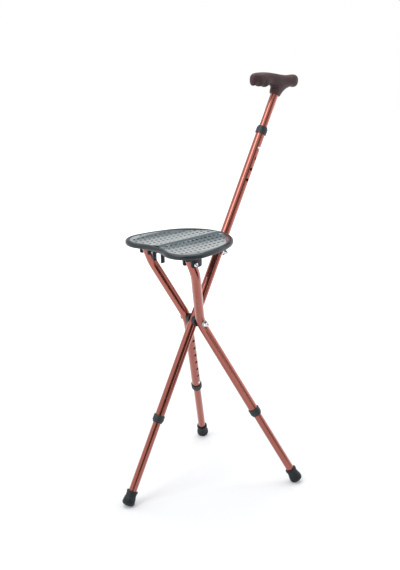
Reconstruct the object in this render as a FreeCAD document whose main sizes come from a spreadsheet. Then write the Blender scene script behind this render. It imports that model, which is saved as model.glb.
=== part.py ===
import FreeCAD, Part
import math
import os
import Sketcher

# A walking stick that opens into a three-legged stool.
#
# The stick is one leg. Two bent legs cross it on a hub bolt, and a perforated
# seat is hinged on their tops. Its rear hooks catch a pin through the stick.
# The handle and the three feet slide in the tubes and lock with snap buttons.
#
# X runs along the hub bolt, Y from the front of the seat to the stick's handle
# and Z up. The ground is Z = 0, and the part is centred over it. Millimetres.

doc = FreeCAD.newDocument("walking_stick_seat")

SIZES = [
    # Stance
    ("hub_y", -49.05, "the hub's place, set at the end to centre the part"),
    ("hub_z", 354, "height of the hub bolt"),
    ("stick_lean", 26.5, "degrees that the stick leans to the rear"),
    ("leg_lean", 24, "degrees that the legs lean to the front"),
    ("leg_splay", 18.9, "degrees that each lower leg spreads sideways"),
    ("leg_flare", 20, "degrees that each upper leg spreads sideways"),
    ("seat_tilt", 2, "degrees that the seat rises to the rear"),
    # Tubes
    ("tube_od", 19, "outer tubes, outside"),
    ("tube_wall", 1.2, "wall of the outer tubes"),
    ("inner_wall", 1.2, "wall of the inner tubes"),
    ("slide_gap", 0.3, "radial gap between a tube and what slides in it"),
    ("fit_gap", 0.05, "radial gap between pieces pressed together"),
    ("turn_gap", 0.05, "radial gap of a bolt in what turns on it"),
    ("face_gap", 0.3, "gap between faces that turn past each other"),
    # Lengths along the stick and the legs
    ("main_top", 409.5, "main tube above the hub"),
    ("main_bottom", 213, "main tube below the hub"),
    ("leg_bottom", 227, "leg tube below its corner"),
    ("handle_insert", 81, "handle tube inside the main tube"),
    ("foot_insert", 66, "foot tube inside its outer tube"),
    # Height holes and snap buttons
    ("hole_pitch", 23, "from hole to hole"),
    ("handle_steps", 3, "holes below the handle's button"),
    ("foot_steps", 6, "holes above each foot's button"),
    ("handle_button_depth", 40, "handle button below the tube's end"),
    ("foot_button_depth", 22, "foot button above the tube's end"),
    ("button_d", 5.8, "snap button"),
    ("button_proud", 2, "button outside the tube"),
    ("button_dome", 1.6, "its domed end"),
    ("spring_width", 5, "leaf spring, width"),
    ("spring_thick", 0.8, "leaf spring, thickness"),
    ("spring_length", 30, "leaf spring, below the button"),
    # Collars
    ("collar_od", 23, "sleeve over the outer tube"),
    ("collar_sleeve", 11, "length of that sleeve"),
    ("collar_lip_od", 19.8, "lip round the inner tube"),
    ("collar_lip", 5, "length of that lip"),
    ("collar_edge", 1.2, "bevel between the sleeve and the lip"),
    # Bushes in the inner tubes
    ("bush_flange", 2.5, "flange past the tube's end"),
    ("bush_spigot", 7, "spigot inside the tube"),
    # Rubber tips
    ("tip_d", 27, "rubber tip at its foot"),
    ("tip_neck_d", 21, "rubber tip at its top"),
    ("tip_height", 30, "rubber tip"),
    ("tip_foot", 12, "height of the wide foot"),
    ("tip_floor", 7, "rubber under the washer"),
    ("tip_edge", 6, "rounding of the tread, in two bevels"),
    ("tip_patch", 0.8, "depth of the flat worn on the tread"),
    ("washer_thick", 1.2, "steel washer in each tip"),
    # Hub
    ("hub_offset", 23, "from the stick's axis to each leg's axis"),
    ("hub_bend", 60, "bend radius of the legs at the hub"),
    ("hub_bolt_d", 6, "hub bolt"),
    ("hub_washer_d", 14, "washers under its head and nut"),
    ("hub_washer_thick", 1, "those washers"),
    ("spacer_d", 22, "saddle spacers"),
    ("spacer_wrap", 4, "from the stick's axis to where a spacer starts"),
    # Leg tops
    ("hinge_x", 66, "from the middle to each leg top's axis"),
    ("hinge_reach", 154.5, "from the hub to the seat's hinge"),
    ("top_bend", 62, "bend radius of the leg tops"),
    ("top_end", 9.5, "tube above the hinge"),
    ("plug_rim", 1.5, "rim of the plug in the leg top"),
    ("plug_depth", 4, "plug inside the tube"),
    # Cross pin of the stick
    ("pin_reach", 149, "from the hub to the seat's pin"),
    ("pin_d", 6, "seat pin"),
    # Domed nuts and bolt heads
    ("nut_flats", 10, "across the flats of the domed nuts"),
    ("nut_height", 5, "their six-sided part"),
    ("nut_dome", 4.6, "radius of their dome, at its foot"),
    ("dome_height", 4.4, "their dome"),
    ("hinge_bolt_d", 5, "seat hinge bolts"),
    ("hinge_head_d", 9.5, "their domed heads"),
    ("hinge_head_height", 3, "height of those heads"),
    ("hinge_nut_flats", 8, "across the flats of their nuts"),
    ("hinge_nut_height", 3.5, "their nuts"),
    # Seat outline, from the hinge line
    ("seat_rear", 134.8, "hinge line to the rear edge"),
    ("rear_radius", 95, "rear of the seat"),
    ("side_radius", 273, "sides of the seat"),
    ("lobe_radius", 46.5, "front lobes"),
    ("rear_angle", 19, "degrees above X where the rear arc ends"),
    ("side_angle", 4, "degrees above X where the side arc ends"),
    ("lobe_angle", 111.4, "degrees below X where the lobe's arc ends"),
    # Seat section
    ("seat_lift", 16.5, "hinge line to the underside"),
    ("rim_height", 10, "rim"),
    ("rim_width", 9, "rim"),
    ("rim_edge", 3, "bevel round the rim"),
    ("ledge", 3.5, "ledge that the panel rests on"),
    ("web_width", 30, "rib across the seat at the hinge"),
    ("spine_width", 36, "rib from front to rear"),
    ("panel_gap", 0.15, "gap round the panel"),
    ("panel_thick", 4, "panel"),
    ("panel_step", 0.6, "panel's edge below the rim"),
    ("dish", 2.2, "depth of each lobe's dish"),
    ("dish_half", 42, "half width of each dish"),
    ("dish_start", 1.5, "from the middle to each dish, under the ridge"),
    ("dish_length", 190, "length of each dish"),
    ("dish_middle", 42, "hinge line to the middle of the dishes"),
    ("ridge", 2, "height of the ridge"),
    ("ridge_half", 11, "half width of the ridge"),
    ("vent_d", 4.8, "vent holes"),
    ("vent_sides", 8, "sides of each vent, which is plainer than round"),
    ("vent_row", 14.6, "from column to column of vents"),
    ("vent_pitch", 10.9, "from vent to vent in a column"),
    ("vent_margin", 6.5, "vents stay this far inside the panel's edge"),
    # Ears, hooks and clips under the seat
    ("ear_thick", 4, "hinge ears"),
    ("ear_front", 10, "ear in front of the hinge"),
    ("ear_rear", 15, "ear behind the hinge"),
    ("ear_drop", 6, "ear below the hinge"),
    ("ear_gap", 0.4, "from ear to leg"),
    ("hook_thick", 4, "rear hooks"),
    ("hook_gap", 2, "from hook to stick"),
    ("hook_wall", 4.2, "plastic round the hook's slot"),
    ("hook_slant", 53, "degrees that the slot points down to the front"),
    ("clip_thick", 3, "clips that hold the folded stick"),
    ("clip_gap", 1.4, "from clip to stick"),
    ("clip_bead", 1, "bead at the clip's end"),
    ("clip_front", 29, "clip's front edge, in front of the hinge"),
    ("clip_width", 8, "clip"),
    ("clip_drop", 5.2, "clip below the hinge line"),
    # Grip
    ("socket_height", 484, "from the hub to the socket's mouth"),
    ("grip_height", 31, "from the socket's mouth to the grip's middle"),
    ("socket_d", 23, "socket"),
    ("tube_in_grip", 24, "handle tube inside the grip"),
    ("grip_rear", 53, "bulb end of the grip"),
    ("grip_front", 84, "finger end of the grip"),
    ("grip_half_width", 13.8, "grip, half width"),
    ("grip_sides", 24, "sides of each section of the grip"),
    ("groove_radius", 4.4, "finger grooves"),
    ("thumb_radius", 11, "wide groove beside the socket"),
]

FITS = [
    ("tube_id", "Sheet.tube_od - 2 * Sheet.tube_wall"),
    ("inner_od", "Sheet.tube_od - 2 * Sheet.tube_wall - 2 * Sheet.slide_gap"),
    ("inner_id", "inner_od - 2 * Sheet.inner_wall"),
    ("button_hole", "Sheet.button_d / 2 + Sheet.slide_gap"),
    ("handle_button", "Sheet.main_top - Sheet.handle_button_depth"),
    ("main_button", "Sheet.main_bottom - Sheet.foot_button_depth"),
    ("leg_button", "Sheet.leg_bottom - Sheet.foot_button_depth"),
    ("button_tip", "Sheet.tube_od / 2 + Sheet.button_proud"),
    ("button_base", "inner_id / 2 - 2.8"),
    ("spring_back", "sqrt(inner_id^2 - Sheet.spring_width^2) / 2 - Sheet.fit_gap"),
    # The bend rounds off the leg's corner, so the corner stands further in.
    ("leg_turn", "(Sheet.leg_splay + Sheet.leg_flare) / 2"),
    ("leg_corner", "Sheet.hub_offset - Sheet.hub_bend * (1 / cos(leg_turn) - 1)"),
    ("flare_top", "(Sheet.hinge_x - leg_corner) / tan(Sheet.leg_flare)"),
    # Each foot ends where its rounded tread meets the ground.
    ("tread", "Sheet.tip_d / 2 - Sheet.tip_edge"),
    ("main_foot", "(Sheet.hub_z + Sheet.tip_patch - Sheet.tip_edge * (1 - cos(Sheet.stick_lean))"
                  " - tread * sin(Sheet.stick_lean)) / cos(Sheet.stick_lean)"),
    ("leg_tilt", "acos(cos(Sheet.leg_splay) * cos(Sheet.leg_lean))"),
    ("leg_foot", "(Sheet.hub_z + Sheet.tip_patch - Sheet.tip_edge * (1 - cos(leg_tilt))"
                 " - tread * sin(leg_tilt)) / cos(leg_tilt)"),
    # The seat's pin, seen from the hinge line and square to the seat.
    ("pin_y", "Sheet.pin_reach * sin(Sheet.stick_lean) + Sheet.hinge_reach * sin(Sheet.leg_lean)"),
    ("pin_z", "Sheet.pin_reach * cos(Sheet.stick_lean) - Sheet.hinge_reach * cos(Sheet.leg_lean)"),
    ("hook_y", "pin_y * cos(Sheet.seat_tilt) + pin_z * sin(Sheet.seat_tilt)"),
    ("hook_z", "pin_z * cos(Sheet.seat_tilt) - pin_y * sin(Sheet.seat_tilt)"),
    ("hook_x", "Sheet.tube_od / 2 + Sheet.hook_gap"),
    # The washers clear the hollow side of the leg's bend.
    ("hub_side", "Sheet.hub_offset + Sheet.tube_od / 2 + Sheet.face_gap"
                 " + Sheet.hub_washer_d^2 / 8 / (Sheet.hub_bend - Sheet.tube_od / 2)"),
    ("ear_x", "Sheet.hinge_x + Sheet.tube_od / 2 + Sheet.ear_gap"),
    ("ear_inner_x", "Sheet.hinge_x - Sheet.tube_od / 2 - Sheet.ear_gap"),
    ("panel_top", "Sheet.seat_lift + Sheet.rim_height - Sheet.panel_step"),
    ("panel_low", "panel_top - Sheet.panel_thick"),
    ("dish_radius", "(Sheet.dish_half^2 + Sheet.dish^2) / (2 * Sheet.dish)"),
    ("dish_sweep", "((Sheet.dish_length / 2)^2 + Sheet.dish^2) / (2 * Sheet.dish)"),
    ("ridge_radius", "(Sheet.ridge_half^2 + Sheet.ridge^2) / (2 * Sheet.ridge)"),
]


def fill_sheet(name, rows):
    """Write aliased cells, one row each: alias in column A, value in column B."""
    sheet = doc.addObject("Spreadsheet::Sheet", name)
    for number, row in enumerate(rows, start=1):
        sheet.set("A%d" % number, row[0])
        sheet.set("B%d" % number, str(row[1]))
        sheet.setAlias("B%d" % number, row[0])
    return sheet


sheet = fill_sheet("Sheet", SIZES)
fits = fill_sheet("Fits", [(name, "=" + formula) for name, formula in FITS])
doc.recompute()


def size(name):
    """A driving size or a fit worked out from them, as a plain number."""
    source = sheet if sheet.getCellFromAlias(name) else fits
    return float(source.get(name))


# Frames. Each is the placement of a group of pieces, as an expression.
def place(x=0, y=0, z=0, axis=(0, 0, 1), angle=0):
    turn = "rotation(vector(%s; %s; %s); %s)" % (axis[0], axis[1], axis[2], angle)
    return "placement(vector(%s; %s; %s); %s)" % (x, y, z, turn)


ALONG_X = (0, 1, 0)
TILT = (1, 0, 0)
HUB = place(0, "Sheet.hub_y", "Sheet.hub_z")
STICK = HUB + " * " + place(axis=TILT, angle="-Sheet.stick_lean")
LEGS = HUB + " * " + place(axis=TILT, angle="Sheet.leg_lean")
SEAT = LEGS + " * " + place(0, 0, "Sheet.hinge_reach", TILT, "Sheet.seat_tilt - Sheet.leg_lean")
GRIP = STICK + " * " + place(
    0, 0, "Sheet.socket_height + Sheet.grip_height", TILT, "Sheet.stick_lean")
SIDES = {"right": 1, "left": -1}


def lower_leg(side):
    """Frame of a lower leg: Z runs up the tube, and the leg's corner is at 0."""
    turn = place("%d * Fits.leg_corner" % side, 0, 0, ALONG_X, "%d * Sheet.leg_splay" % -side)
    return LEGS + " * " + turn


parts = {}
count = [0]


def fresh(kind, label):
    count[0] += 1
    return doc.addObject(kind, "%s_%d" % (label, count[0]))


def keep(name, item, frame):
    """Make an object a sub-part: its label is its node's name."""
    item.Label = name
    item.setExpression("Placement", frame)
    parts[name] = item
    return item


def cylinder(radius, height, where=None):
    rod = fresh("Part::Cylinder", "rod")
    rod.setExpression("Radius", radius)
    rod.setExpression("Height", height)
    if where:
        rod.setExpression("Placement", where)
    return rod


def cross_rod(radius, x0, x1, z="0", y="0"):
    """A rod along X from x0 to x1."""
    return cylinder(radius, "(%s) - (%s)" % (x1, x0), place(x0, y, z, ALONG_X, 90))


def cone(radius1, radius2, height, where):
    taper = fresh("Part::Cone", "taper")
    taper.setExpression("Radius1", radius1)
    taper.setExpression("Radius2", radius2)
    taper.setExpression("Height", height)
    taper.setExpression("Placement", where)
    return taper


def dome(radius, height, where):
    """A domed end of two tapers, on the plane z = 0 of a place."""
    low, waist = "%s * 0.58" % height, "%s * 0.8" % radius
    top = cone(waist, "%s * 0.3" % radius, "%s * 0.42" % height, where + " * " + place(0, 0, low))
    return [cone(radius, waist, low, where), top]


def box(x0, x1, y0, y1, z0, z1):
    block = fresh("Part::Box", "block")
    block.setExpression("Length", "(%s) - (%s)" % (x1, x0))
    block.setExpression("Width", "(%s) - (%s)" % (y1, y0))
    block.setExpression("Height", "(%s) - (%s)" % (z1, z0))
    block.setExpression("Placement", place(x0, y0, z0))
    return block


def fuse(pieces):
    if len(pieces) == 1:
        return pieces[0]
    joined = fresh("Part::MultiFuse", "joined")
    joined.Shapes = pieces
    return joined


def cut(base, tools):
    left = fresh("Part::Cut", "cut")
    left.Base = base
    left.Tool = fuse(tools)
    return left


def common(one, other):
    both = fresh("Part::MultiCommon", "common")
    both.Shapes = [one, other]
    return both


def group(pieces):
    """Identical pieces that share a node, as separate solids."""
    several = fresh("Part::Compound", "group")
    several.Links = pieces
    return several


def sketch_on(body, role, label, lift=None):
    """A sketch on one of the body's own origin planes."""
    sketch = body.newObject("Sketcher::SketchObject", "%s_%d" % (label, count[0]))
    plane = [item for item in body.Origin.OriginFeatures if item.Role == role][0]
    sketch.AttachmentSupport = [(plane, "")]
    sketch.MapMode = "FlatFace"
    if lift:
        sketch.setExpression("AttachmentOffset", place(0, 0, lift))
    return sketch


def outline(sketch, corners):
    """A closed outline through corners given as pairs of expressions."""
    last = len(corners)
    for i in range(last):
        start = FreeCAD.Vector(i + 1, i * i, 0)
        j = (i + 1) % last
        sketch.addGeometry(Part.LineSegment(start, FreeCAD.Vector(j + 1, j * j, 0)), False)
    for i in range(last):
        sketch.addConstraint(Sketcher.Constraint("Coincident", i, 2, (i + 1) % last, 1))
    for i, (across, up) in enumerate(corners):
        for kind, expression in (("DistanceX", across), ("DistanceY", up)):
            sketch.addConstraint(Sketcher.Constraint(kind, i, 1, 1.0 + i))
            number = sketch.ConstraintCount - 1
            sketch.setExpression("Constraints[%d]" % number, expression)


def turned(corners):
    """A piece turned about its own Z axis from corners (radius, height)."""
    count[0] += 1
    body = doc.addObject("PartDesign::Body", "turned_%d" % count[0])
    sketch = sketch_on(body, "XZ_Plane", "profile")
    outline(sketch, corners)
    spin = body.newObject("PartDesign::Revolution", "spin_%d" % count[0])
    spin.Profile = sketch
    spin.ReferenceAxis = (sketch, ["V_Axis"])
    spin.Angle = 360
    body.Tip = spin
    return body


# Tubes
def height_holes(first, step, steps, side, radius="Fits.button_hole"):
    """Holes through one wall, from the given height on, spaced by the pitch."""
    holes = []
    for i in range(int(steps)):
        z = "%s + %d * (%s)" % (first, i, step)
        x0, x1 = ("0", "Sheet.tube_od") if side > 0 else ("-Sheet.tube_od", "0")
        holes.append(cross_rod(radius, x0, x1, z))
    return holes


def straight_tube(outer_d, inner_d, bottom, top, holes):
    length = "(%s) - (%s)" % (top, bottom)
    outside = cylinder(outer_d + " / 2", length, place(0, 0, bottom))
    inside = cylinder(inner_d + " / 2", length, place(0, 0, bottom))
    return cut(outside, [inside] + holes)


def make_main_tube():
    reach = "Sheet.tube_od"
    holes = [
        cross_rod("Sheet.hub_bolt_d / 2 + Sheet.fit_gap", "-" + reach, reach),
        cross_rod("Sheet.pin_d / 2 + Sheet.fit_gap", "-" + reach, reach, "Sheet.pin_reach"),
    ]
    holes += height_holes(
        "Fits.handle_button", "-Sheet.hole_pitch", size("handle_steps") + 1, 1)
    holes += height_holes(
        "-Fits.main_button", "Sheet.hole_pitch", size("foot_steps") + 1, -1)
    tube = straight_tube(
        "Sheet.tube_od", "Fits.tube_id", "-Sheet.main_bottom", "Sheet.main_top", holes)
    keep("main_tube", tube, STICK)


def make_leg_tube(name, side):
    """A tube bent at the hub and again under the seat, in the legs' plane."""
    body = doc.addObject("PartDesign::Body", name + "_bent")
    corner, hinge = size("leg_corner"), size("hinge_x")
    top = size("hinge_reach") + size("top_end")
    flare, splay = math.radians(size("leg_flare")), math.radians(size("leg_splay"))
    knee = FreeCAD.Vector(side * corner, 0, 0)
    shoulder = FreeCAD.Vector(side * hinge, size("flare_top"), 0)
    end = FreeCAD.Vector(side * (corner + size("leg_bottom") * math.sin(splay)),
                         -size("leg_bottom") * math.cos(splay), 0)
    start = FreeCAD.Vector(side * hinge, top, 0)

    path = sketch_on(body, "XZ_Plane", "path")
    bends = []
    for point, before, after, radius in (
            (shoulder, start, knee, size("top_bend")), (knee, shoulder, end, size("hub_bend"))):
        into = (before - point).normalize()
        out = (after - point).normalize()
        half = into.getAngle(out) / 2
        middle = point + (into + out).normalize() * (radius / math.sin(half))
        first = point + into * (radius / math.tan(half))
        last = point + out * (radius / math.tan(half))
        crown = middle + (point - middle).normalize() * radius
        bends.append((first, crown, last))
    stops = [start, bends[0][0], bends[0][2], bends[1][0], bends[1][2], end]
    lines = [Part.LineSegment(stops[i], stops[i + 1]) for i in (0, 2, 4)]
    arcs = [Part.Arc(*bend) for bend in bends]
    for shape in (lines[0], arcs[0], lines[1], arcs[1], lines[2]):
        path.addGeometry(shape, False)
    for number, radius in ((1, "Sheet.top_bend"), (3, "Sheet.hub_bend")):
        path.addConstraint(Sketcher.Constraint(
            "Radius", number, path.Geometry[number].Radius))
        path.setExpression("Constraints[%d]" % (path.ConstraintCount - 1), radius)

    ring = sketch_on(body, "XY_Plane", "ring", "Sheet.hinge_reach + Sheet.top_end")
    for expression in ("Sheet.tube_od / 2", "Fits.tube_id / 2"):
        ring.addGeometry(Part.Circle(
            FreeCAD.Vector(side * hinge, 0, 0), FreeCAD.Vector(0, 0, 1), 5.0), False)
        number = ring.GeometryCount - 1
        ring.addConstraint(Sketcher.Constraint("Radius", number, 5.0 + number))
        ring.setExpression("Constraints[%d]" % (ring.ConstraintCount - 1), expression)
        ring.addConstraint(Sketcher.Constraint("DistanceX", number, 3, side * hinge))
        ring.setExpression("Constraints[%d]" % (ring.ConstraintCount - 1),
                           "%d * Sheet.hinge_x" % side)
        ring.addConstraint(Sketcher.Constraint("PointOnObject", number, 3, -1))
    pipe = body.newObject("PartDesign::AdditivePipe", name + "_pipe")
    pipe.Profile = ring
    pipe.Spine = (path, ["Edge%d" % (i + 1) for i in range(5)])
    body.Tip = pipe

    reach = "Sheet.tube_od"
    x = "%d * Sheet.hinge_x" % side
    hub_x = "%d * Sheet.hub_offset" % side
    holes = [
        cross_rod("Sheet.hub_bolt_d / 2 + Sheet.turn_gap", hub_x + " - " + reach,
                  hub_x + " + " + reach),
        cross_rod("Sheet.hinge_bolt_d / 2 + Sheet.turn_gap", x + " - " + reach,
                  x + " + " + reach, "Sheet.hinge_reach"),
    ]
    turn = place("%d * Fits.leg_corner" % side, 0, 0, ALONG_X, "%d * Sheet.leg_splay" % -side)
    for hole in height_holes("-Fits.leg_button", "Sheet.hole_pitch",
                             size("foot_steps") + 1, -side):
        own = dict(hole.ExpressionEngine)["Placement"]
        hole.setExpression("Placement", turn + " * " + own)
        holes.append(hole)
    keep(name, cut(body, holes), LEGS)


def make_inner_tube(name, frame, bottom, top, button, side):
    hole = height_holes(button, "0", 1, side, "Sheet.button_d / 2 + Sheet.turn_gap")
    tube = straight_tube("Fits.inner_od", "Fits.inner_id", bottom, top, hole)
    keep(name, tube, frame)


# Small pieces
def make_collar(name, frame, end, up):
    """A sleeve over the outer tube's end, with a lip round the inner tube."""
    bore = "Sheet.tube_od / 2 + Sheet.fit_gap"
    lip_bore = "Fits.inner_od / 2 + Sheet.slide_gap"
    stop = "Sheet.fit_gap"
    body = turned([
        (bore, "-Sheet.collar_sleeve"),
        ("Sheet.collar_od / 2", "-Sheet.collar_sleeve"),
        ("Sheet.collar_od / 2", "Sheet.collar_edge"),
        ("Sheet.collar_lip_od / 2", "2 * Sheet.collar_edge"),
        ("Sheet.collar_lip_od / 2", "Sheet.collar_lip"),
        (lip_bore, "Sheet.collar_lip"),
        (lip_bore, stop),
        (bore, stop),
    ])
    where = frame + " * " + (place(0, 0, end) if up else place(0, 0, end, TILT, 180))
    keep(name, body, where)


def make_bush(name, frame, end, up):
    """A plastic bush in the end of an inner tube: flange outside, spigot inside."""
    spigot = "Fits.inner_id / 2 - Sheet.fit_gap"
    body = turned([
        ("0", "-Sheet.bush_flange"),
        ("Fits.inner_od / 2", "-Sheet.bush_flange"),
        ("Fits.inner_od / 2", "-Sheet.fit_gap"),
        (spigot, "-Sheet.fit_gap"),
        (spigot, "Sheet.bush_spigot"),
        ("0", "Sheet.bush_spigot"),
    ])
    where = frame + " * " + (place(0, 0, end) if up else place(0, 0, end, TILT, 180))
    keep(name, body, where)


def make_tip(name, frame, foot):
    """A rubber tip, turned, and cut flat where it meets the ground."""
    bore = "Fits.inner_od / 2 + Sheet.fit_gap"
    wide, neck, edge = "Sheet.tip_d / 2", "Sheet.tip_neck_d / 2", "Sheet.tip_edge"
    body = turned([
        ("0", "0"),
        ("Fits.tread", "0"),
        ("Fits.tread + %s * sin(30)" % edge, "%s * (1 - cos(30))" % edge),
        (wide, edge),
        (wide + " - 0.6", "Sheet.tip_foot"),
        (neck, "Sheet.tip_foot + 4.5"),
        (neck, "Sheet.tip_height"),
        (bore, "Sheet.tip_height"),
        (bore, "Sheet.tip_floor"),
        ("0", "Sheet.tip_floor"),
    ])
    body.setExpression("Placement", frame + " * " + place(0, 0, "-(%s)" % foot))
    block = box("-400", "400", "-600", "600", "-60", "0")
    tip = cut(body, [block])
    tip.Label = name
    parts[name] = tip


def make_washer(name, frame, foot):
    disc = cylinder("Fits.inner_od / 2", "Sheet.washer_thick")
    where = place(0, 0, "-(%s) + Sheet.tip_floor + Sheet.fit_gap" % foot)
    keep(name, disc, frame + " * " + where)


def make_button(name, frame, height, side):
    """A snap button: a shank with a domed end, pointing out of the tube."""
    radius, end = "Sheet.button_d / 2", "Fits.button_tip - Sheet.button_dome"
    shank = cross_rod(radius, "Fits.button_base", end)
    cap = cone(radius, radius + " * 0.5", "Sheet.button_dome", place(end, 0, 0, ALONG_X, 90))
    turn = place(0, 0, height, (0, 0, 1), 0 if side > 0 else 180)
    keep(name, fuse([shank, cap]), frame + " * " + turn)


def make_button_spring(name, frame, height, side):
    """A leaf spring bent to a V inside the inner tube, one arm behind the button."""
    body = doc.addObject("PartDesign::Body", name + "_leaf")
    sketch = sketch_on(body, "XZ_Plane", "leaf")
    near = "Fits.button_base - Sheet.turn_gap"
    far = "-Fits.spring_back"
    thick, length = "Sheet.spring_thick", "Sheet.spring_length"
    outline(sketch, [
        (near, "4"), (near, "-4"),
        ("-0.4", "-%s" % length), ("-2.6", "-%s" % length),
        (far, "-4"), (far, "3"),
        (far + " + " + thick, "3"), (far + " + " + thick, "-4"),
        ("-1.5 - %s / 2" % thick, "-%s + 1.4" % length),
        ("-1.5 + %s / 2" % thick, "-%s + 1.4" % length),
        (near + " - " + thick, "-4"), (near + " - " + thick, "4"),
    ])
    pad = body.newObject("PartDesign::Pad", name + "_pad")
    pad.Profile = sketch
    pad.Midplane = True
    pad.setExpression("Length", "Sheet.spring_width")
    body.Tip = pad
    turn = place(0, 0, height, (0, 0, 1), 0 if side > 0 else 180)
    keep(name, body, frame + " * " + turn)


def domed_nut(x, side, z="0"):
    """A six-sided nut with a domed cap, on a bolt along X. It starts at x."""
    turn, height = place(x, 0, z, ALONG_X, 90 * side), "Sheet.nut_height + 1"
    prism = fresh("Part::Prism", "flats")
    prism.Polygon = 6
    prism.setExpression("Circumradius", "Sheet.nut_flats / 2 / cos(30)")
    prism.setExpression("Height", height)
    prism.setExpression("Placement", turn)
    cap = dome("Sheet.nut_dome", "Sheet.dome_height", turn + " * " + place(0, 0, height))
    return fuse([prism] + cap)


# Hub and pins
def make_hub():
    side = "Fits.hub_side"
    washer = "Sheet.hub_washer_thick"
    bolt_end = side + " + %s + Sheet.nut_height" % washer
    head_start = "-(%s) - %s - Sheet.fit_gap" % (side, washer)
    shank = cross_rod("Sheet.hub_bolt_d / 2", head_start, bolt_end)
    prism = fresh("Part::Prism", "head")
    prism.Polygon = 6
    prism.setExpression("Circumradius", "Sheet.nut_flats / 2 / cos(30)")
    prism.Height = 4
    prism.setExpression("Placement", place(head_start, 0, 0, ALONG_X, -90))
    keep("hub_bolt", fuse([shank, prism]), STICK)

    start = side + " + %s + Sheet.fit_gap" % washer
    nut = domed_nut(start, 1)
    bore = cross_rod("Sheet.hub_bolt_d / 2 + Sheet.fit_gap", side, bolt_end + " + 0.3")
    keep("hub_nut", cut(nut, [bore]), STICK)

    discs = []
    for sign in (1, -1):
        x0 = side if sign > 0 else "-(%s) - %s" % (side, washer)
        x1 = side + " + " + washer if sign > 0 else "-(%s)" % side
        disc = cross_rod("Sheet.hub_washer_d / 2", x0, x1)
        discs.append(cut(disc, [cross_rod(
            "Sheet.hub_bolt_d / 2 + Sheet.fit_gap", "(%s) - 1" % x0, "(%s) + 1" % x1)]))
    keep("hub_washers", group(discs), STICK)

    for name, sign in SIDES.items():
        inner = "Sheet.spacer_wrap"
        outer = "Sheet.hub_offset - Sheet.tube_od / 2 - Sheet.face_gap"
        x0, x1 = (inner, outer) if sign > 0 else ("-(%s)" % outer, "-(%s)" % inner)
        disc = cross_rod("Sheet.spacer_d / 2", x0, x1)
        stick = cylinder("Sheet.tube_od / 2 + Sheet.fit_gap", "2 * Sheet.spacer_d",
                         place(0, 0, "-Sheet.spacer_d"))
        bolt = cross_rod("Sheet.hub_bolt_d / 2 + Sheet.fit_gap", "-30", "30")
        keep("hub_spacer_" + name, cut(disc, [stick, bolt]), STICK)


def make_seat_pin():
    end = "Fits.hook_x + Sheet.hook_thick + Sheet.face_gap"
    thread = end + " + Sheet.nut_height"
    pin = cylinder("Sheet.pin_d / 2", "2 * (%s)" % thread)
    where = place("-(%s)" % thread, 0, "Sheet.pin_reach", ALONG_X, 90)
    keep("seat_pin", pin, STICK + " * " + where)
    nuts = []
    for sign in (1, -1):
        start = end if sign > 0 else "-(%s)" % end
        nut = domed_nut(start, sign, "Sheet.pin_reach")
        bore = cross_rod("Sheet.pin_d / 2 + Sheet.fit_gap", "-(%s) - 0.3" % thread,
                         thread + " + 0.3", "Sheet.pin_reach")
        nuts.append(cut(nut, [bore]))
    keep("seat_pin_nuts", group(nuts), STICK)


# Leg tops
def make_leg_plug(name, side):
    body = turned([
        ("0", "-Sheet.plug_depth"),
        ("Fits.tube_id / 2 - Sheet.fit_gap", "-Sheet.plug_depth"),
        ("Fits.tube_id / 2 - Sheet.fit_gap", "Sheet.fit_gap"),
        ("Sheet.tube_od / 2 - 0.4", "Sheet.fit_gap"),
        ("Sheet.tube_od / 2 - 1.2", "Sheet.plug_rim"),
        ("0", "Sheet.plug_rim"),
    ])
    where = place("%d * Sheet.hinge_x" % side, 0, "Sheet.hinge_reach + Sheet.top_end")
    keep(name, body, LEGS + " * " + where)


def make_hinge_bolts():
    bolts, nuts = [], []
    for sign in (1, -1):
        outer = "Fits.ear_x + Sheet.ear_thick + Sheet.fit_gap"
        inner = "Fits.ear_inner_x - Sheet.ear_thick - Sheet.fit_gap"
        tail = inner + " - Sheet.hinge_nut_height"
        if sign > 0:
            shank = cross_rod("Sheet.hinge_bolt_d / 2", tail, outer)
        else:
            shank = cross_rod("Sheet.hinge_bolt_d / 2", "-(%s)" % outer, "-(%s)" % tail)
        base = place("%d * (%s)" % (sign, outer), 0, 0, ALONG_X, 90 * sign)
        head = dome("Sheet.hinge_head_d / 2", "Sheet.hinge_head_height", base)
        bolts.append(fuse([shank] + head))
        prism = fresh("Part::Prism", "flats")
        prism.Polygon = 6
        prism.setExpression("Circumradius", "Sheet.hinge_nut_flats / 2 / cos(30)")
        prism.setExpression("Height", "Sheet.hinge_nut_height")
        prism.setExpression("Placement", place(
            "%d * (%s)" % (sign, inner), 0, 0, ALONG_X, -90 * sign))
        bore = cross_rod("Sheet.hinge_bolt_d / 2 + Sheet.fit_gap", "-100", "100")
        nuts.append(cut(prism, [bore]))
    keep("seat_hinge_bolts", group(bolts), SEAT)
    keep("seat_hinge_nuts", group(nuts), SEAT)


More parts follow.
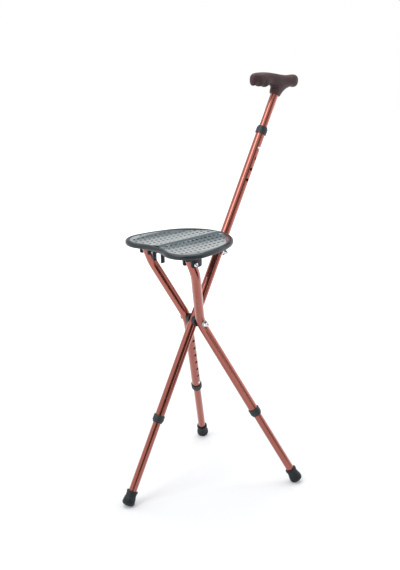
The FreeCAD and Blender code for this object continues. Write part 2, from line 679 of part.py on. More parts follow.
# Seat
def seat_arcs(inset):
    """Arcs of the heart-shaped outline, moved in by inset: centre, radius, from, to."""
    rear, side, lobe = size("rear_radius"), size("side_radius"), size("lobe_radius")
    first = math.radians(size("rear_angle"))
    second = math.radians(size("side_angle"))
    third = -math.radians(size("lobe_angle"))

    def step(centre, angle, distance):
        return FreeCAD.Vector(centre.x + math.cos(angle) * distance,
                              centre.y + math.sin(angle) * distance, 0)

    rear_centre = FreeCAD.Vector(0, size("seat_rear") - rear, 0)
    side_centre = step(rear_centre, first, rear - side)
    lobe_centre = step(side_centre, second, side - lobe)
    notch = -lobe_centre.x / math.cos(third) - lobe
    notch_centre = step(lobe_centre, third, lobe + notch)
    up = math.pi
    right = [
        (side_centre, side - inset, second, first),
        (lobe_centre, lobe - inset, third, second),
    ]
    left = [(FreeCAD.Vector(-c.x, c.y, 0), r, up - b, up - a) for c, r, a, b in right]
    return (
        [(rear_centre, rear - inset, first, up - first)]
        + left
        + [(notch_centre, notch + inset, third + up, -third)]
        + right[::-1]
    )


def seat_outline(inset):
    return [
        Part.ArcOfCircle(Part.Circle(centre, FreeCAD.Vector(0, 0, 1), radius), start, end)
        for centre, radius, start, end in seat_arcs(inset)
    ]


def seat_block(label, inset, bottom, height, bevel=None):
    """A block with the seat's outline, padded from a sketch of its arcs."""
    body = doc.addObject("PartDesign::Body", label)
    sketch = sketch_on(body, "XY_Plane", label + "_outline", bottom)
    for arc in seat_outline(inset):
        sketch.addGeometry(arc, False)
    pad = body.newObject("PartDesign::Pad", label + "_pad")
    pad.Profile = sketch
    pad.setExpression("Length", height)
    body.Tip = pad
    if bevel:
        doc.recompute()
        edges = [
            "Edge%d" % number
            for number, edge in enumerate(pad.Shape.Edges, start=1)
            if edge.BoundBox.ZLength < 0.01
        ]
        edge = body.newObject("PartDesign::Chamfer", label + "_bevel")
        edge.Base = (pad, edges)
        edge.setExpression("Size", bevel)
        body.Tip = edge
    return body


def both_sides(x0, x1):
    """A span along X and its mirror image."""
    return [(x0, x1), ("-(%s)" % x1, "-(%s)" % x0)]


def make_ears(lift):
    pieces = []
    low, front, rear = "-Sheet.ear_drop", "-Sheet.ear_front", "Sheet.ear_rear"
    corner = "4"
    spans = both_sides("Fits.ear_x", "Fits.ear_x + Sheet.ear_thick")
    spans += both_sides("Fits.ear_inner_x - Sheet.ear_thick", "Fits.ear_inner_x")
    for x0, x1 in spans:
        pieces.append(box(x0, x1, front, rear, low + " + " + corner, lift + " + 3"))
        pieces.append(box(x0, x1, front + " + " + corner, rear + " - " + corner, low, lift))
        for y in (front + " + " + corner, rear + " - " + corner):
            pieces.append(cross_rod(corner, x0, x1, low + " + " + corner, y))
    return pieces


def make_hooks(lift):
    """Plates beside the stick, and the slots that let the seat drop on its pin."""
    half = "Sheet.pin_d / 2 + Sheet.face_gap"
    around = half + " + Sheet.hook_wall"
    y, z = "Fits.hook_y", "Fits.hook_z"
    plates = []
    for x0, x1 in both_sides("Fits.hook_x", "Fits.hook_x + Sheet.hook_thick"):
        plates.append(cross_rod(around, x0, x1, z, y))
        plates.append(box(x0, x1, "%s - (%s)" % (y, around), "%s + %s" % (y, around), z,
                          lift + " + 2"))
    slot = fresh("Part::Box", "slot")
    slot.Length = 80
    slot.setExpression("Width", "4 * Sheet.pin_d")
    slot.setExpression("Height", "2 * (%s)" % half)
    turn = place("-40", y, z, TILT, "180 + Sheet.hook_slant")
    slot.setExpression("Placement", turn + " * " + place(0, 0, "-(%s)" % half))
    return plates, [cross_rod(half, "-40", "40", z, y), slot]


def make_clips(lift):
    """Two springy tabs that the folded stick is pressed between."""
    pieces = []
    inner = "Sheet.tube_od / 2 + Sheet.clip_gap"
    front, low = "-Sheet.clip_front", "-Sheet.clip_drop"
    for x0, x1 in both_sides(inner, inner + " + Sheet.clip_thick"):
        pieces.append(box(x0, x1, front, front + " + Sheet.clip_width", low, lift + " + 5"))
    for sign in (1, -1):
        pieces.append(cylinder("Sheet.clip_bead", "Sheet.clip_width", place(
            "%d * (%s)" % (sign, inner), front, low + " + Sheet.clip_bead", TILT, -90)))
    return pieces


def make_seat_frame():
    lift = "Sheet.seat_lift"
    rim = seat_block("rim", 0, lift, "Sheet.rim_height", "Sheet.rim_edge")
    recess = seat_block("recess", size("rim_width"), "Fits.panel_low - Sheet.fit_gap",
                        "Sheet.rim_height")
    window = seat_block("window", size("rim_width") + size("ledge"), lift + " - 1",
                        "2 * Sheet.rim_height")
    wide, low, high = "2 * Sheet.seat_rear", lift + " - 2", lift + " + 3 * Sheet.rim_height"
    cross = box("-" + wide, wide, "-Sheet.ear_front", "Sheet.web_width - Sheet.ear_front",
                low, high)
    spine = box("-Sheet.spine_width / 2", "Sheet.spine_width / 2", "-" + wide, wide, low, high)
    openings = cut(window, [cross, spine])
    plates, slots = make_hooks(lift)
    pieces = [cut(rim, [recess, openings])] + make_ears(lift) + plates + make_clips(lift)
    bolt = cross_rod("Sheet.hinge_bolt_d / 2 + Sheet.fit_gap", "-120", "120")
    keep("seat_frame", cut(fuse(pieces), [bolt] + slots), SEAT)


def make_vents():
    """Vent holes in columns, every second column half a step out."""
    sketch = doc.addObject("Sketcher::SketchObject", "vents")
    sketch.setExpression("Placement", place(0, 0, "Fits.panel_low - 1"))
    inset = size("rim_width") + size("panel_gap") + size("vent_margin")
    field = Part.Face(Part.Wire([arc.toShape() for arc in seat_outline(inset)]))
    row, pitch, sides = size("vent_row"), size("vent_pitch"), int(size("vent_sides"))
    columns, rows = int(size("seat_rear") / row), int(2 * size("seat_rear") / pitch)
    ring = [FreeCAD.Vector(math.cos(turn), math.sin(turn), 0) * (size("vent_d") / 2)
            for turn in (2 * math.pi * (k + 0.5) / sides for k in range(sides))]
    lines = []
    for i in range(-columns, columns + 1):
        for j in range(-rows, rows):
            point = FreeCAD.Vector(i * row, (j + (abs(i) % 2) / 2) * pitch, 0)
            if i and field.isInside(point, 0.01, True):
                lines += [Part.LineSegment(point + ring[k - 1], point + ring[k])
                          for k in range(sides)]
    sketch.addGeometry(lines, False)
    holes = fresh("Part::Extrusion", "vent_holes")
    holes.Base = sketch
    holes.DirMode = "Normal"
    holes.Solid = True
    holes.setExpression("LengthFwd", "2 * Sheet.panel_thick + Sheet.ridge")
    return holes


def make_seat_panel():
    """A panel with two shallow dishes, a ridge between them, and vents."""
    inset = size("rim_width") + size("panel_gap")
    low = "Fits.panel_low"
    dishes = []
    for sign in (1, -1):
        ring = fresh("Part::Torus", "dish")
        ring.setExpression("Radius1", "Fits.dish_sweep - Fits.dish_radius")
        ring.setExpression("Radius2", "Fits.dish_radius")
        height = "Fits.panel_top - Sheet.dish + Fits.dish_sweep"
        ring.setExpression("Placement", place(
            "%d * (Sheet.dish_start + Sheet.dish_half)" % sign, "Sheet.dish_middle", height,
            ALONG_X, 90))
        dishes.append(ring)
    block = cut(seat_block("panel_block", inset, low, "Sheet.panel_thick"), dishes)
    tall = seat_block("ridge_block", inset, low, "2 * Sheet.panel_thick")
    bow = cylinder("Fits.ridge_radius", "2 * Sheet.seat_rear", place(
        0, "-Sheet.seat_rear / 2", "Fits.panel_top + Sheet.ridge - Fits.ridge_radius",
        TILT, -90))
    keep("seat_panel", cut(fuse([block, common(bow, tall)]), [make_vents()]), SEAT)


# Grip
def make_grip():
    """A lofted bar on a socket, with finger grooves under its front."""
    front, rear, wide = -size("grip_front"), size("grip_rear"), size("grip_half_width")
    stations = [
        # Along the bar, middle height, half height and half width.
        (front, 5.5, 4.5, wide - 7),
        (front + 2, 5.2, 8.5, wide - 3.5),
        (front + 6, 4.9, 11.5, wide - 1.5),
        (front + 24, 4.2, 13.5, wide),
        (front + 48, 4.1, 13.4, wide - 0.2),
        (front + 69, 1.1, 13, wide - 0.5),
        (4, -1, 12.2, wide - 0.8),
        (rear - 31, -2.5, 12, wide - 0.5),
        (rear - 12, -2.3, 12.6, wide),
        (rear - 4, -2, 9.2, wide - 2.5),
        (rear, -2.4, 4.5, wide - 7),
    ]
    sides = int(size("grip_sides"))
    turns = [2 * math.pi * (k + 0.5) / sides for k in range(sides)]
    rings = []
    for y, z, tall, across in stations:
        ring = fresh("Part::Polygon", "ring")
        ring.Nodes = [FreeCAD.Vector(across * math.cos(a), tall * math.sin(a), 0) for a in turns]
        ring.Close = True
        ring.setExpression("Placement", GRIP + " * " + place(0, y, z, TILT, 90))
        rings.append(ring)
    bar = fresh("Part::Loft", "bar")
    bar.Sections = rings
    bar.Solid = True
    bar.Ruled = True
    mouth = place(0, 0, "Sheet.socket_height")
    neck = cone("Sheet.socket_d / 2", "Sheet.grip_half_width", "Sheet.tube_in_grip + 4",
                STICK + " * " + mouth)
    bore = cylinder("Fits.inner_od / 2 + Sheet.fit_gap", "Sheet.tube_in_grip + 1 + Sheet.fit_gap",
                    STICK + " * " + place(0, 0, "Sheet.socket_height - 1"))
    grooves = []
    for y, z, radius in (
            (front + 13.5, -4.7, "Sheet.groove_radius"),
            (front + 28.5, -7.1, "Sheet.groove_radius"),
            (front + 52, -7.8, "Sheet.thumb_radius")):
        where = place("-30", y, "%s - %s" % (z, radius), ALONG_X, 90)
        grooves.append(cylinder(radius, "60", GRIP + " * " + where))
    grip = cut(fuse([cut(bar, grooves), neck]), [bore])
    grip.Label = "handle_grip"
    parts["handle_grip"] = grip


def write_parts():
    os.makedirs("parts", exist_ok=True)
    for name, item in parts.items():
        item.Shape.exportStep("parts/%s.step" % name)


def check():
    for item in doc.Objects:
        if "Invalid" in item.State or "Error" in item.State:
            raise RuntimeError("%s failed: %s" % (item.Label, item.State))
    for name, item in parts.items():
        if item.Shape.isNull() or not item.Shape.isValid():
            raise RuntimeError("%s has no valid shape" % name)


def make_foot(name, frame, foot, outer_end, outer_tube_end, button, side):
    """A foot that slides in an outer tube: tube, bush, tip, washer and button."""
    bottom = "-(%s) + Sheet.tip_floor + Sheet.washer_thick + 2 * Sheet.fit_gap" % foot
    top = "-%s + Sheet.foot_insert" % outer_end
    make_inner_tube(name + "_foot_tube", frame, bottom, top, "-" + button, side)
    make_bush(name + "_foot_bush", frame, top, False)
    make_tip(name + "_foot_tip", frame, foot)
    make_washer(name + "_foot_washer", frame, foot)
    make_button(name + "_foot_button", frame, "-" + button, side)
    make_button_spring(name + "_foot_button_spring", frame, "-" + button, side)
    make_collar(outer_tube_end, frame, "-" + outer_end, False)


make_main_tube()
make_collar("upper_collar", STICK, "Sheet.main_top", True)
make_hub()
make_seat_pin()
grip_end = "Sheet.main_top - Sheet.handle_insert"
make_inner_tube("handle_tube", STICK, grip_end, "Sheet.socket_height + Sheet.tube_in_grip",
                "Fits.handle_button", 1)
make_bush("handle_bush", STICK, grip_end, True)
make_button("handle_button", STICK, "Fits.handle_button", 1)
make_button_spring("handle_button_spring", STICK, "Fits.handle_button", 1)
make_grip()
make_foot("main", STICK, "Fits.main_foot", "Sheet.main_bottom", "main_collar",
          "Fits.main_button", -1)
for label, sign in SIDES.items():
    make_leg_tube(label + "_leg_tube", sign)
    make_leg_plug(label + "_leg_plug", sign)
    make_foot(label, lower_leg(sign), "Fits.leg_foot", "Sheet.leg_bottom",
              label + "_leg_collar", "Fits.leg_button", -sign)
make_hinge_bolts()
make_seat_frame()
make_seat_panel()
doc.recompute()
check()
write_parts()
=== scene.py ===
"""A walking stick that opens into a three-legged stool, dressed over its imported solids."""

from math import acos, asin, atan2, ceil, copysign, cos, degrees, pi, radians, sin, sqrt, tan

import bmesh
import bpy
import numpy as np
from mathutils import Matrix, Vector
from mathutils.geometry import delaunay_2d_cdt


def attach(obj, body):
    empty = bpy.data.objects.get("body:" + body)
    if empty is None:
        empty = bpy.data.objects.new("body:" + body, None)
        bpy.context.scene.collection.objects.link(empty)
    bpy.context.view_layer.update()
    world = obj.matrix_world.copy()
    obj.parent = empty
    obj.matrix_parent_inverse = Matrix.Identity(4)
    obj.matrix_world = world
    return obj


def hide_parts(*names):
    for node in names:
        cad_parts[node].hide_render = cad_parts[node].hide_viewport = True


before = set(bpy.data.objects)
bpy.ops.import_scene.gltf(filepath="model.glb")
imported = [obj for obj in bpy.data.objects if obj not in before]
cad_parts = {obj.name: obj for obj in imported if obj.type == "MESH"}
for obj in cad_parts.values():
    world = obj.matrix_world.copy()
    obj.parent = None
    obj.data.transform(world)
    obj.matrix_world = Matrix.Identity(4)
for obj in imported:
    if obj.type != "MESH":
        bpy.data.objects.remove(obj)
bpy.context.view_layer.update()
MM = 0.001

# Sizes, as in the part's source: millimetres and degrees
HUB = (0, -49.05, 354)
STICK_LEAN, LEG_LEAN, LEG_SPLAY, LEG_FLARE, SEAT_TILT = 26.5, 24, 18.9, 20, 2
TUBE_R, TUBE_WALL, INNER_R, INNER_WALL = 9.5, 1.2, 8.0, 1.2
FIT_GAP, SLIDE_GAP, FACE_GAP, EAR_GAP, PANEL_GAP = 0.05, 0.3, 0.3, 0.4, 0.15
MAIN_TOP, MAIN_BOTTOM, LEG_BOTTOM, HANDLE_INSERT, FOOT_INSERT = 409.5, 213, 227, 81, 66
HOLE_PITCH, HOLE_R, HANDLE_HOLES, FOOT_HOLES = 23, 3.2, 4, 7
HANDLE_BUTTON, MAIN_BUTTON, LEG_BUTTON, BUTTON_R, BUTTON_PROUD = 369.5, 191, 205, 2.9, 2
COLLAR_R, COLLAR_SLEEVE, LIP_R, LIP = 11.5, 11, 9.9, 5
TIP_R, TIP_EDGE, TIP_PATCH, TIP_HEIGHT, TIP_FLOOR, WASHER_THICK = 13.5, 6, 0.8, 30, 7, 1.2
HUB_OFFSET, HUB_BEND, HUB_SIDE, SPACER_R, SPACER_WRAP, BOLT_BORE = 23, 60, 33.29, 11, 4, 3.05
HINGE_X, HINGE_REACH, TOP_BEND, TOP_END, PIN_REACH = 66, 154.5, 62, 9.5, 149
NUT_FLATS, NUT_DOME, DOME_HEIGHT, HINGE_HEAD = 10, 4.6, 4.4, 3
SEAT_REAR, REAR_R, SIDE_R, LOBE_R = 134.8, 95, 273, 46.5
REAR_ANGLE, SIDE_ANGLE, LOBE_ANGLE = 19, 4, 111.4
SEAT_LIFT, RIM_HEIGHT, RIM_WIDTH, RIM_EDGE, LEDGE = 16.5, 10, 9, 4.2, 3.5
PANEL_TOP, PANEL_THICK, DISH, DISH_MIDDLE = 25.9, 4, 2.2, (43.5, 42)
DISH_HALF, RIDGE, RIDGE_R = (42, 95), 2, 31.25
VENT_R, VENT_ROW, VENT_PITCH, VENT_MARGIN = 2.4, 14.6, 10.9, 6.5
EAR_FRONT, EAR_REAR, EAR_DROP, EAR_THICK = 10, 15, 6, 4
WEB_HALF, WEB_WIDTH, SPINE_HALF, SPINE_END = 93, 30, 18, 7
HOOK_X, HOOK_R, HOOK_THICK, SLOT_HALF, SLOT_SLANT = 11.5, 7.5, 4, 3.3, 53
CLIP_THICK, CLIP_GAP, CLIP_FRONT, CLIP_WIDTH, CLIP_DROP = 3, 1.4, 29, 8, 5.2
SOCKET_HEIGHT, TUBE_IN_GRIP, GRIP_HEIGHT = 484, 24, 31


def move(x=0, y=0, z=0):
    return Matrix.Translation((x * MM, y * MM, z * MM))


def turn(angle, axis):
    return Matrix.Rotation(radians(angle), 4, axis)


def round_angles(count):
    """Angles in equal steps round a circle."""
    return [2 * pi * j / count for j in range(count)]


AT_HUB = move(*HUB)
STICK = AT_HUB @ turn(-STICK_LEAN, "X")
LEGS = AT_HUB @ turn(LEG_LEAN, "X")
SEAT = LEGS @ move(0, 0, HINGE_REACH) @ turn(SEAT_TILT - LEG_LEAN, "X")
GRIP = STICK @ move(0, 0, SOCKET_HEIGHT + GRIP_HEIGHT) @ turn(STICK_LEAN, "X")
LEG_CORNER = HUB_OFFSET - HUB_BEND * (1 / cos(radians((LEG_SPLAY + LEG_FLARE) / 2)) - 1)
FLARE_TOP = (HINGE_X - LEG_CORNER) / tan(radians(LEG_FLARE))
SIDES = {"right": 1, "left": -1}


def lower_leg(side):
    """The lower part of a leg, from its corner at the hub."""
    return LEGS @ move(side * LEG_CORNER) @ turn(-side * LEG_SPLAY, "Y")


def foot_reach(tilt):
    """From the hub along a leg that leans by tilt, in radians, to its tip's tread."""
    tread = TIP_R - TIP_EDGE
    drop = HUB[2] + TIP_PATCH - TIP_EDGE * (1 - cos(tilt)) - tread * sin(tilt)
    return drop / cos(tilt)


MAIN_FOOT = foot_reach(radians(STICK_LEAN))
LEG_FOOT = foot_reach(acos(cos(radians(LEG_SPLAY)) * cos(radians(LEG_LEAN))))


# Shader maths
class Value:
    """A shader socket that adds Math nodes when it is used in an expression."""

    def __init__(self, shading, socket):
        self.shading, self.socket = shading, socket

    def __add__(self, other):
        return self.shading.math("ADD", self, other)

    def __sub__(self, other):
        return self.shading.math("SUBTRACT", self, other)

    def __rsub__(self, other):
        return self.shading.math("SUBTRACT", other, self)

    def __mul__(self, other):
        return self.shading.math("MULTIPLY", self, other)

    __radd__ = __add__
    __rmul__ = __mul__

    def stretched(self, low, high, new_low=0.0, new_high=1.0):
        """This value's range low to high, made new_low to new_high and held there."""
        return self.shading.node("ShaderNodeMapRange", {}, {
            "Value": self, "From Min": low, "From Max": high,
            "To Min": new_low, "To Max": new_high})


class Shading:
    """A tree of shader nodes."""

    def __init__(self, tree):
        self.tree = tree

    def give(self, socket, value):
        """Link a value to a socket, or set the socket to a number or a colour."""
        if isinstance(value, Value):
            self.tree.links.new(value.socket, socket)
        elif socket.type == "RGBA":
            socket.default_value = (*value, 1)
        else:
            socket.default_value = value

    def node(self, kind, settings, inputs, output=0):
        """A node of a type, with its settings, then the values or links of its sockets."""
        made = self.tree.nodes.new(kind)
        for name, value in settings.items():
            setattr(made, name, value)
        for key, value in inputs.items():
            self.give(made.inputs[key], value)
        return Value(self, made.outputs[output])

    def math(self, operation, *values):
        return self.node("ShaderNodeMath", {"operation": operation}, dict(enumerate(values)))

    def background_rays(self):
        """1 for rays from the camera, off gloss and through glass, which see the backdrop."""
        camera, glossy, through = (
            self.node("ShaderNodeLightPath", {}, {}, "Is " + kind + " Ray")
            for kind in ("Camera", "Glossy", "Transmission"))
        return self.math("MAXIMUM", self.math("MAXIMUM", camera, glossy), through)


class Finish(Shading):
    """A material with one principled shader."""

    def __init__(self, name, **plain):
        self.material = bpy.data.materials.new(name)
        self.material.use_nodes = True
        super().__init__(self.material.node_tree)
        self.shader = self.tree.nodes["Principled BSDF"]
        for socket, value in plain.items():
            self.set(socket.replace("_", " "), value)

    def set(self, name, value):
        self.give(self.shader.inputs[name], value)

    def place(self):
        """Object coordinates."""
        return self.node("ShaderNodeTexCoord", {}, {}, "Object")

    def noise(self, scale, detail, rough=0.5):
        return self.node("ShaderNodeTexNoise", {}, {
            "Vector": self.place(), "Scale": scale, "Detail": detail, "Roughness": rough})

    def blend(self, amount, one, two):
        """One colour turning into another."""
        return self.node("ShaderNodeMix", {"data_type": "RGBA"}, {0: amount, 6: one, 7: two}, 2)

    def bump(self, height, depth_mm, strength):
        self.set("Normal", self.node("ShaderNodeBump", {}, {
            "Height": height, "Distance": depth_mm * MM, "Strength": strength}))
        return self


# Finishes
def copper_lacquer():
    """Clear-coated aluminium, dyed a coppery red, with a faint grain."""
    made = Finish("copper_lacquer", Metallic=0.95, Coat_Weight=0.8, Coat_Roughness=0.04)
    cloud = made.noise(14, 2)
    made.set("Base Color", made.blend(cloud, (0.315, 0.080, 0.056), (0.38, 0.105, 0.076)))
    made.set("Roughness", made.noise(55, 3).stretched(0.3, 0.7, 0.20, 0.28))
    return made.bump(made.noise(900, 2), 0.015, 0.35)


def rubbed(name, specular, patches, colours, roughness):
    """A finish with rubbed patches: each pair goes from what is whole to what is rubbed."""
    made = Finish(name, Specular_IOR_Level=specular)
    scale, rough, low, high = patches
    patch = made.noise(scale, 4, rough).stretched(low, high)
    made.set("Base Color", made.blend(patch, *colours))
    made.set("Roughness", patch.stretched(0, 1, *roughness))
    return made


def moulded(name, colours, roughness, grain, depth):
    """Black plastic with a fine moulded grain."""
    made = rubbed(name, 0.45, (38, 0.6, 0.45, 0.75), colours, roughness)
    return made.bump(made.noise(grain, 3), depth, 0.5)


def rubber():
    """Dull black rubber, greyer and rougher where it is worn."""
    made = rubbed("tip_rubber", 0.35, (60, 0.65, 0.5, 0.8),
                  ((0.012, 0.017, 0.021), (0.045, 0.052, 0.056)), (0.58, 0.75))
    return made.bump(made.noise(520, 4), 0.08, 0.7)


def grip_plastic():
    """Dark brown, soft to the touch, with a pebbled grain."""
    made = rubbed("grip_plastic", 0.4, (30, 0.6, 0.42, 0.72),
                  ((0.044, 0.018, 0.020), (0.070, 0.032, 0.035)), (0.62, 0.5))
    pebbles = made.node("ShaderNodeTexVoronoi", {"feature": "SMOOTH_F1"}, {
        "Vector": made.place(), "Scale": 620.0})
    return made.bump(pebbles + made.noise(240, 3) * 0.6, 0.10, 0.55)


def seat_plastic():
    """Smooth semi-gloss plastic, wavy from the mould, dull inside its vents, whose walls carry
    painted shade that makes them near-black.
    """
    made = Finish("seat_plastic", Coat_Roughness=0.06)
    normal = made.node("ShaderNodeTexCoord", {}, {}, "Normal")
    rise = made.node("ShaderNodeSeparateXYZ", {}, {0: normal}, "Z")
    # 1 on the upright top, 0 on the vent walls, where shade is painted.
    top_vs_painted_vent_shade = made.math("ABSOLUTE", rise).stretched(0.6, 0.92)
    skin = made.blend(made.noise(20, 2), (0.040, 0.072, 0.084), (0.064, 0.102, 0.116))
    # Painted shade: the vent walls get near-black in place of the plastic's own colour, so the
    # vents look dark inside.
    made.set("Base Color", made.blend(top_vs_painted_vent_shade, (0.006, 0.008, 0.009), skin))
    made.set("Coat Weight", top_vs_painted_vent_shade)
    duller = 0.6 * (1.0 - top_vs_painted_vent_shade)
    made.set("Roughness", made.noise(60, 3).stretched(0.3, 0.7, 0.18, 0.28) + duller)
    waves, grain = made.noise(45, 1) * 0.8, made.noise(700, 2) * 0.08
    return made.bump(waves + grain, 0.12, 0.4)


def metal(name, colour, roughness, spread):
    """Bare or plated metal, a little cloudy."""
    made = Finish(name, Metallic=1.0)
    clouded = tuple(0.86 * c for c in colour)
    made.set("Base Color", made.blend(made.noise(30, 3), colour, clouded))
    made.set("Roughness", made.noise(90, 3).stretched(0.3, 0.7, roughness, roughness + spread))
    return made.bump(made.noise(1200, 2), 0.01, 0.3)


COPPER = copper_lacquer()
DARK = moulded("dark_plastic", ((0.012, 0.020, 0.025), (0.030, 0.040, 0.046)), (0.48, 0.36),
               420, 0.05)
RIM = moulded("rim_plastic", ((0.010, 0.017, 0.022), (0.026, 0.036, 0.042)), (0.40, 0.28),
              300, 0.06)
PANEL = seat_plastic()
RUBBER = rubber()
GRIP_SKIN = grip_plastic()
CHROME = metal("chrome", (0.80, 0.81, 0.83), 0.06, 0.07)
STEEL = metal("zinc_steel", (0.60, 0.61, 0.62), 0.28, 0.16)
SPRING = metal("spring_steel", (0.32, 0.32, 0.34), 0.34, 0.14)


# Mesh tools
def in_scene(name, data):
    """An object that holds the data, linked in the scene."""
    made = bpy.data.objects.new(name, data)
    bpy.context.scene.collection.objects.link(made)
    return made


def dress(mesh, finish):
    mesh.materials.clear()
    mesh.materials.append(finish.material)


def piece(node, mesh, body, finish):
    """Put a finished mesh on its body, in place of the solid that it stands for."""
    dress(mesh, finish)
    made = in_scene(node + "_skin", mesh)
    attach(made, body)
    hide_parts(node)


def mesh_of(points, faces, frame_at=None):
    """A mesh from points in millimetres, smooth, with its normals outward."""
    mesh = bpy.data.meshes.new("shape")
    mesh.from_pydata([Vector(p) * MM for p in points], [], faces)
    work = bmesh.new()
    work.from_mesh(mesh)
    bmesh.ops.remove_doubles(work, verts=work.verts, dist=0.002 * MM)
    bmesh.ops.recalc_face_normals(work, faces=work.faces)
    work.to_mesh(mesh)
    work.free()
    if frame_at is not None:
        mesh.transform(frame_at)
    return smooth(mesh)


def smooth(mesh, sharp=38):
    """Shade a mesh smooth, but for edges sharper than an angle in degrees."""
    mesh.polygons.foreach_set("use_smooth", [True] * len(mesh.polygons))
    mesh.set_sharp_from_angle(angle=radians(sharp))
    mesh.update()
    return mesh


def joined(meshes):
    """Several meshes as one, left as separate shells."""
    work = bmesh.new()
    for mesh in meshes:
        work.from_mesh(mesh)
    mesh = bpy.data.meshes.new("shape")
    work.to_mesh(mesh)
    work.free()
    return smooth(mesh)


def modified(mesh, *modifiers):
    """A mesh with modifiers applied, each given as a type and its settings."""
    carrier = in_scene("carrier", mesh)
    for kind, settings in modifiers:
        modifier = carrier.modifiers.new(kind.lower(), kind)
        for name, value in settings.items():
            if kind == "NODES" and name != "node_group":
                item = modifier.node_group.interface.items_tree[name]
                modifier[item.identifier] = value
            else:
                setattr(modifier, name, value)
    result = bpy.data.meshes.new_from_object(
        carrier.evaluated_get(bpy.context.evaluated_depsgraph_get()))
    bpy.data.objects.remove(carrier)
    return result


def soften(mesh, width):
    """Round the edges of a mesh by a width in millimetres."""
    return smooth(modified(mesh, ("BEVEL", {
        "width": width * MM, "segments": 2, "limit_method": "ANGLE",
        "angle_limit": radians(35), "harden_normals": False})), 50)


def loft(rings, closed=False, capped=True):
    """Points and faces that join rings of the same length, in a loop or with ends."""
    count = len(rings[0])
    points = [p for ring in rings for p in ring]
    faces = []
    for i in range(len(rings) if closed else len(rings) - 1):
        a, b = i * count, (i + 1) % len(rings) * count
        for j in range(count):
            k = (j + 1) % count
            faces.append((a + j, a + k, b + k, b + j))
    if capped and not closed:
        faces.append(tuple(range(count))[::-1])
        faces.append(tuple((len(rings) - 1) * count + j for j in range(count)))
    return points, faces


def rounded(profile, radius, closed):
    """The corners of an outline, each rounded as far as its sides allow."""
    made = []
    count, steps, nearly_straight = len(profile), 3, radians(172)
    for i, corner in enumerate(profile):
        here = Vector(corner)
        before, after = Vector(profile[i - 1]) - here, Vector(profile[(i + 1) % count]) - here
        angle = before.angle(after) if closed or 0 < i < count - 1 else pi
        if angle > nearly_straight:
            made.append(corner)
            continue
        reach = min(radius / tan(angle / 2), before.length * 0.48, after.length * 0.48)
        start, end = here + before.normalized() * reach, here + after.normalized() * reach
        for step in range(steps + 1):
            t = step / steps
            made.append(tuple(start * (1 - t) ** 2 + here * (2 * t * (1 - t)) + end * t ** 2))
    return made


def circles(outline, segments):
    """A ring of points round the Z axis for each radius and height of an outline."""
    angles = round_angles(segments)
    return [[(r * cos(a), r * sin(a), z) for a in angles] for r, z in outline]


def turned(profile, frame_at, radius, segments, bored=False):
    """A piece turned about its own Z axis, its corners rounded by a radius.

    A bored piece's outline is a loop. Any other outline starts and ends on the axis.
    """
    rings = circles(rounded(profile, radius, bored), segments)
    return mesh_of(*loft(rings, bored, capped=False), frame_at)


def true_normals(mesh, normals_at, near=0.92):
    """Shade the faces of a known surface, either side up, by that surface's own normals.

    Near is how closely, as a cosine, a face has to lie along it.
    """
    points = np.empty(len(mesh.vertices) * 3)
    mesh.vertices.foreach_get("co", points)
    known = normals_at(points.reshape(-1, 3))
    vertex = np.empty(len(mesh.loops), np.int32)
    mesh.loops.foreach_get("vertex_index", vertex)
    faces = np.empty(len(mesh.polygons) * 3)
    mesh.polygons.foreach_get("normal", faces)
    sizes = np.empty(len(mesh.polygons), np.int32)
    mesh.polygons.foreach_get("loop_total", sizes)
    flat = np.repeat(faces.reshape(-1, 3), sizes, axis=0)
    corners = known[vertex]
    facing = (corners * flat).sum(1)
    corners *= np.sign(facing)[:, None]
    corners[abs(facing) < near] = 0
    mesh.normals_split_custom_set(corners.tolist())
    return mesh


# Nodes that repeat holes
def node_group(name, inputs):
    """A geometry node group with named inputs, a way to add nodes, and what it is given."""
    tree = bpy.data.node_groups.new(name, "GeometryNodeTree")
    for title, kind in {"Geometry": "Geometry", **inputs}.items():
        tree.interface.new_socket(title, in_out="INPUT", socket_type="NodeSocket" + kind)
    tree.interface.new_socket("Geometry", in_out="OUTPUT", socket_type="NodeSocketGeometry")

    def add(kind, settings=None, **values):
        """A node's outputs, once it has its settings and its inputs, by name or as _0, _1."""
        made = tree.nodes.new(kind)
        for setting, value in (settings or {}).items():
            setattr(made, setting, value)
        for title, value in values.items():
            socket = made.inputs[int(title[1:]) if title[0] == "_" else title.replace("_", " ")]
            if isinstance(value, bpy.types.NodeSocket):
                tree.links.new(value, socket)
            else:
                socket.default_value = value
        return made.outputs

    return tree, add, add("NodeGroupInput")


def cut_and_finish(add, body, cutters, finish):
    """Real cutters taken out of a body, and the finish set on what is left."""
    real = add("GeometryNodeRealizeInstances", Geometry=cutters)
    cut = add("GeometryNodeMeshBoolean", {"operation": "DIFFERENCE", "solver": "MANIFOLD"},
              _0=body, _1=real[0])
    dressed = add("GeometryNodeSetMaterial", Geometry=cut[0], Material=finish)
    add("NodeGroupOutput", Geometry=dressed[0])


def height_holes():
    """Round holes from Start on, one Step apart, each Reach deep along a turned X."""
    tree, add, given = node_group("height_holes", {
        "Count": "Int", "Start": "Vector", "Step": "Vector", "Turn": "Vector",
        "Radius": "Float", "Reach": "Float", "Finish": "Material"})
    line = add("GeometryNodeMeshLine", {"mode": "OFFSET"}, Count=given["Count"],
               Start_Location=given["Start"], Offset=given["Step"])
    drill = add("GeometryNodeMeshCylinder", Vertices=40, Radius=given["Radius"],
                Depth=given["Reach"])
    row = add("GeometryNodeInstanceOnPoints", Points=line[0], Instance=drill[0],
              Rotation=given["Turn"])
    cut_and_finish(add, given[0], row[0], given["Finish"])
    return tree


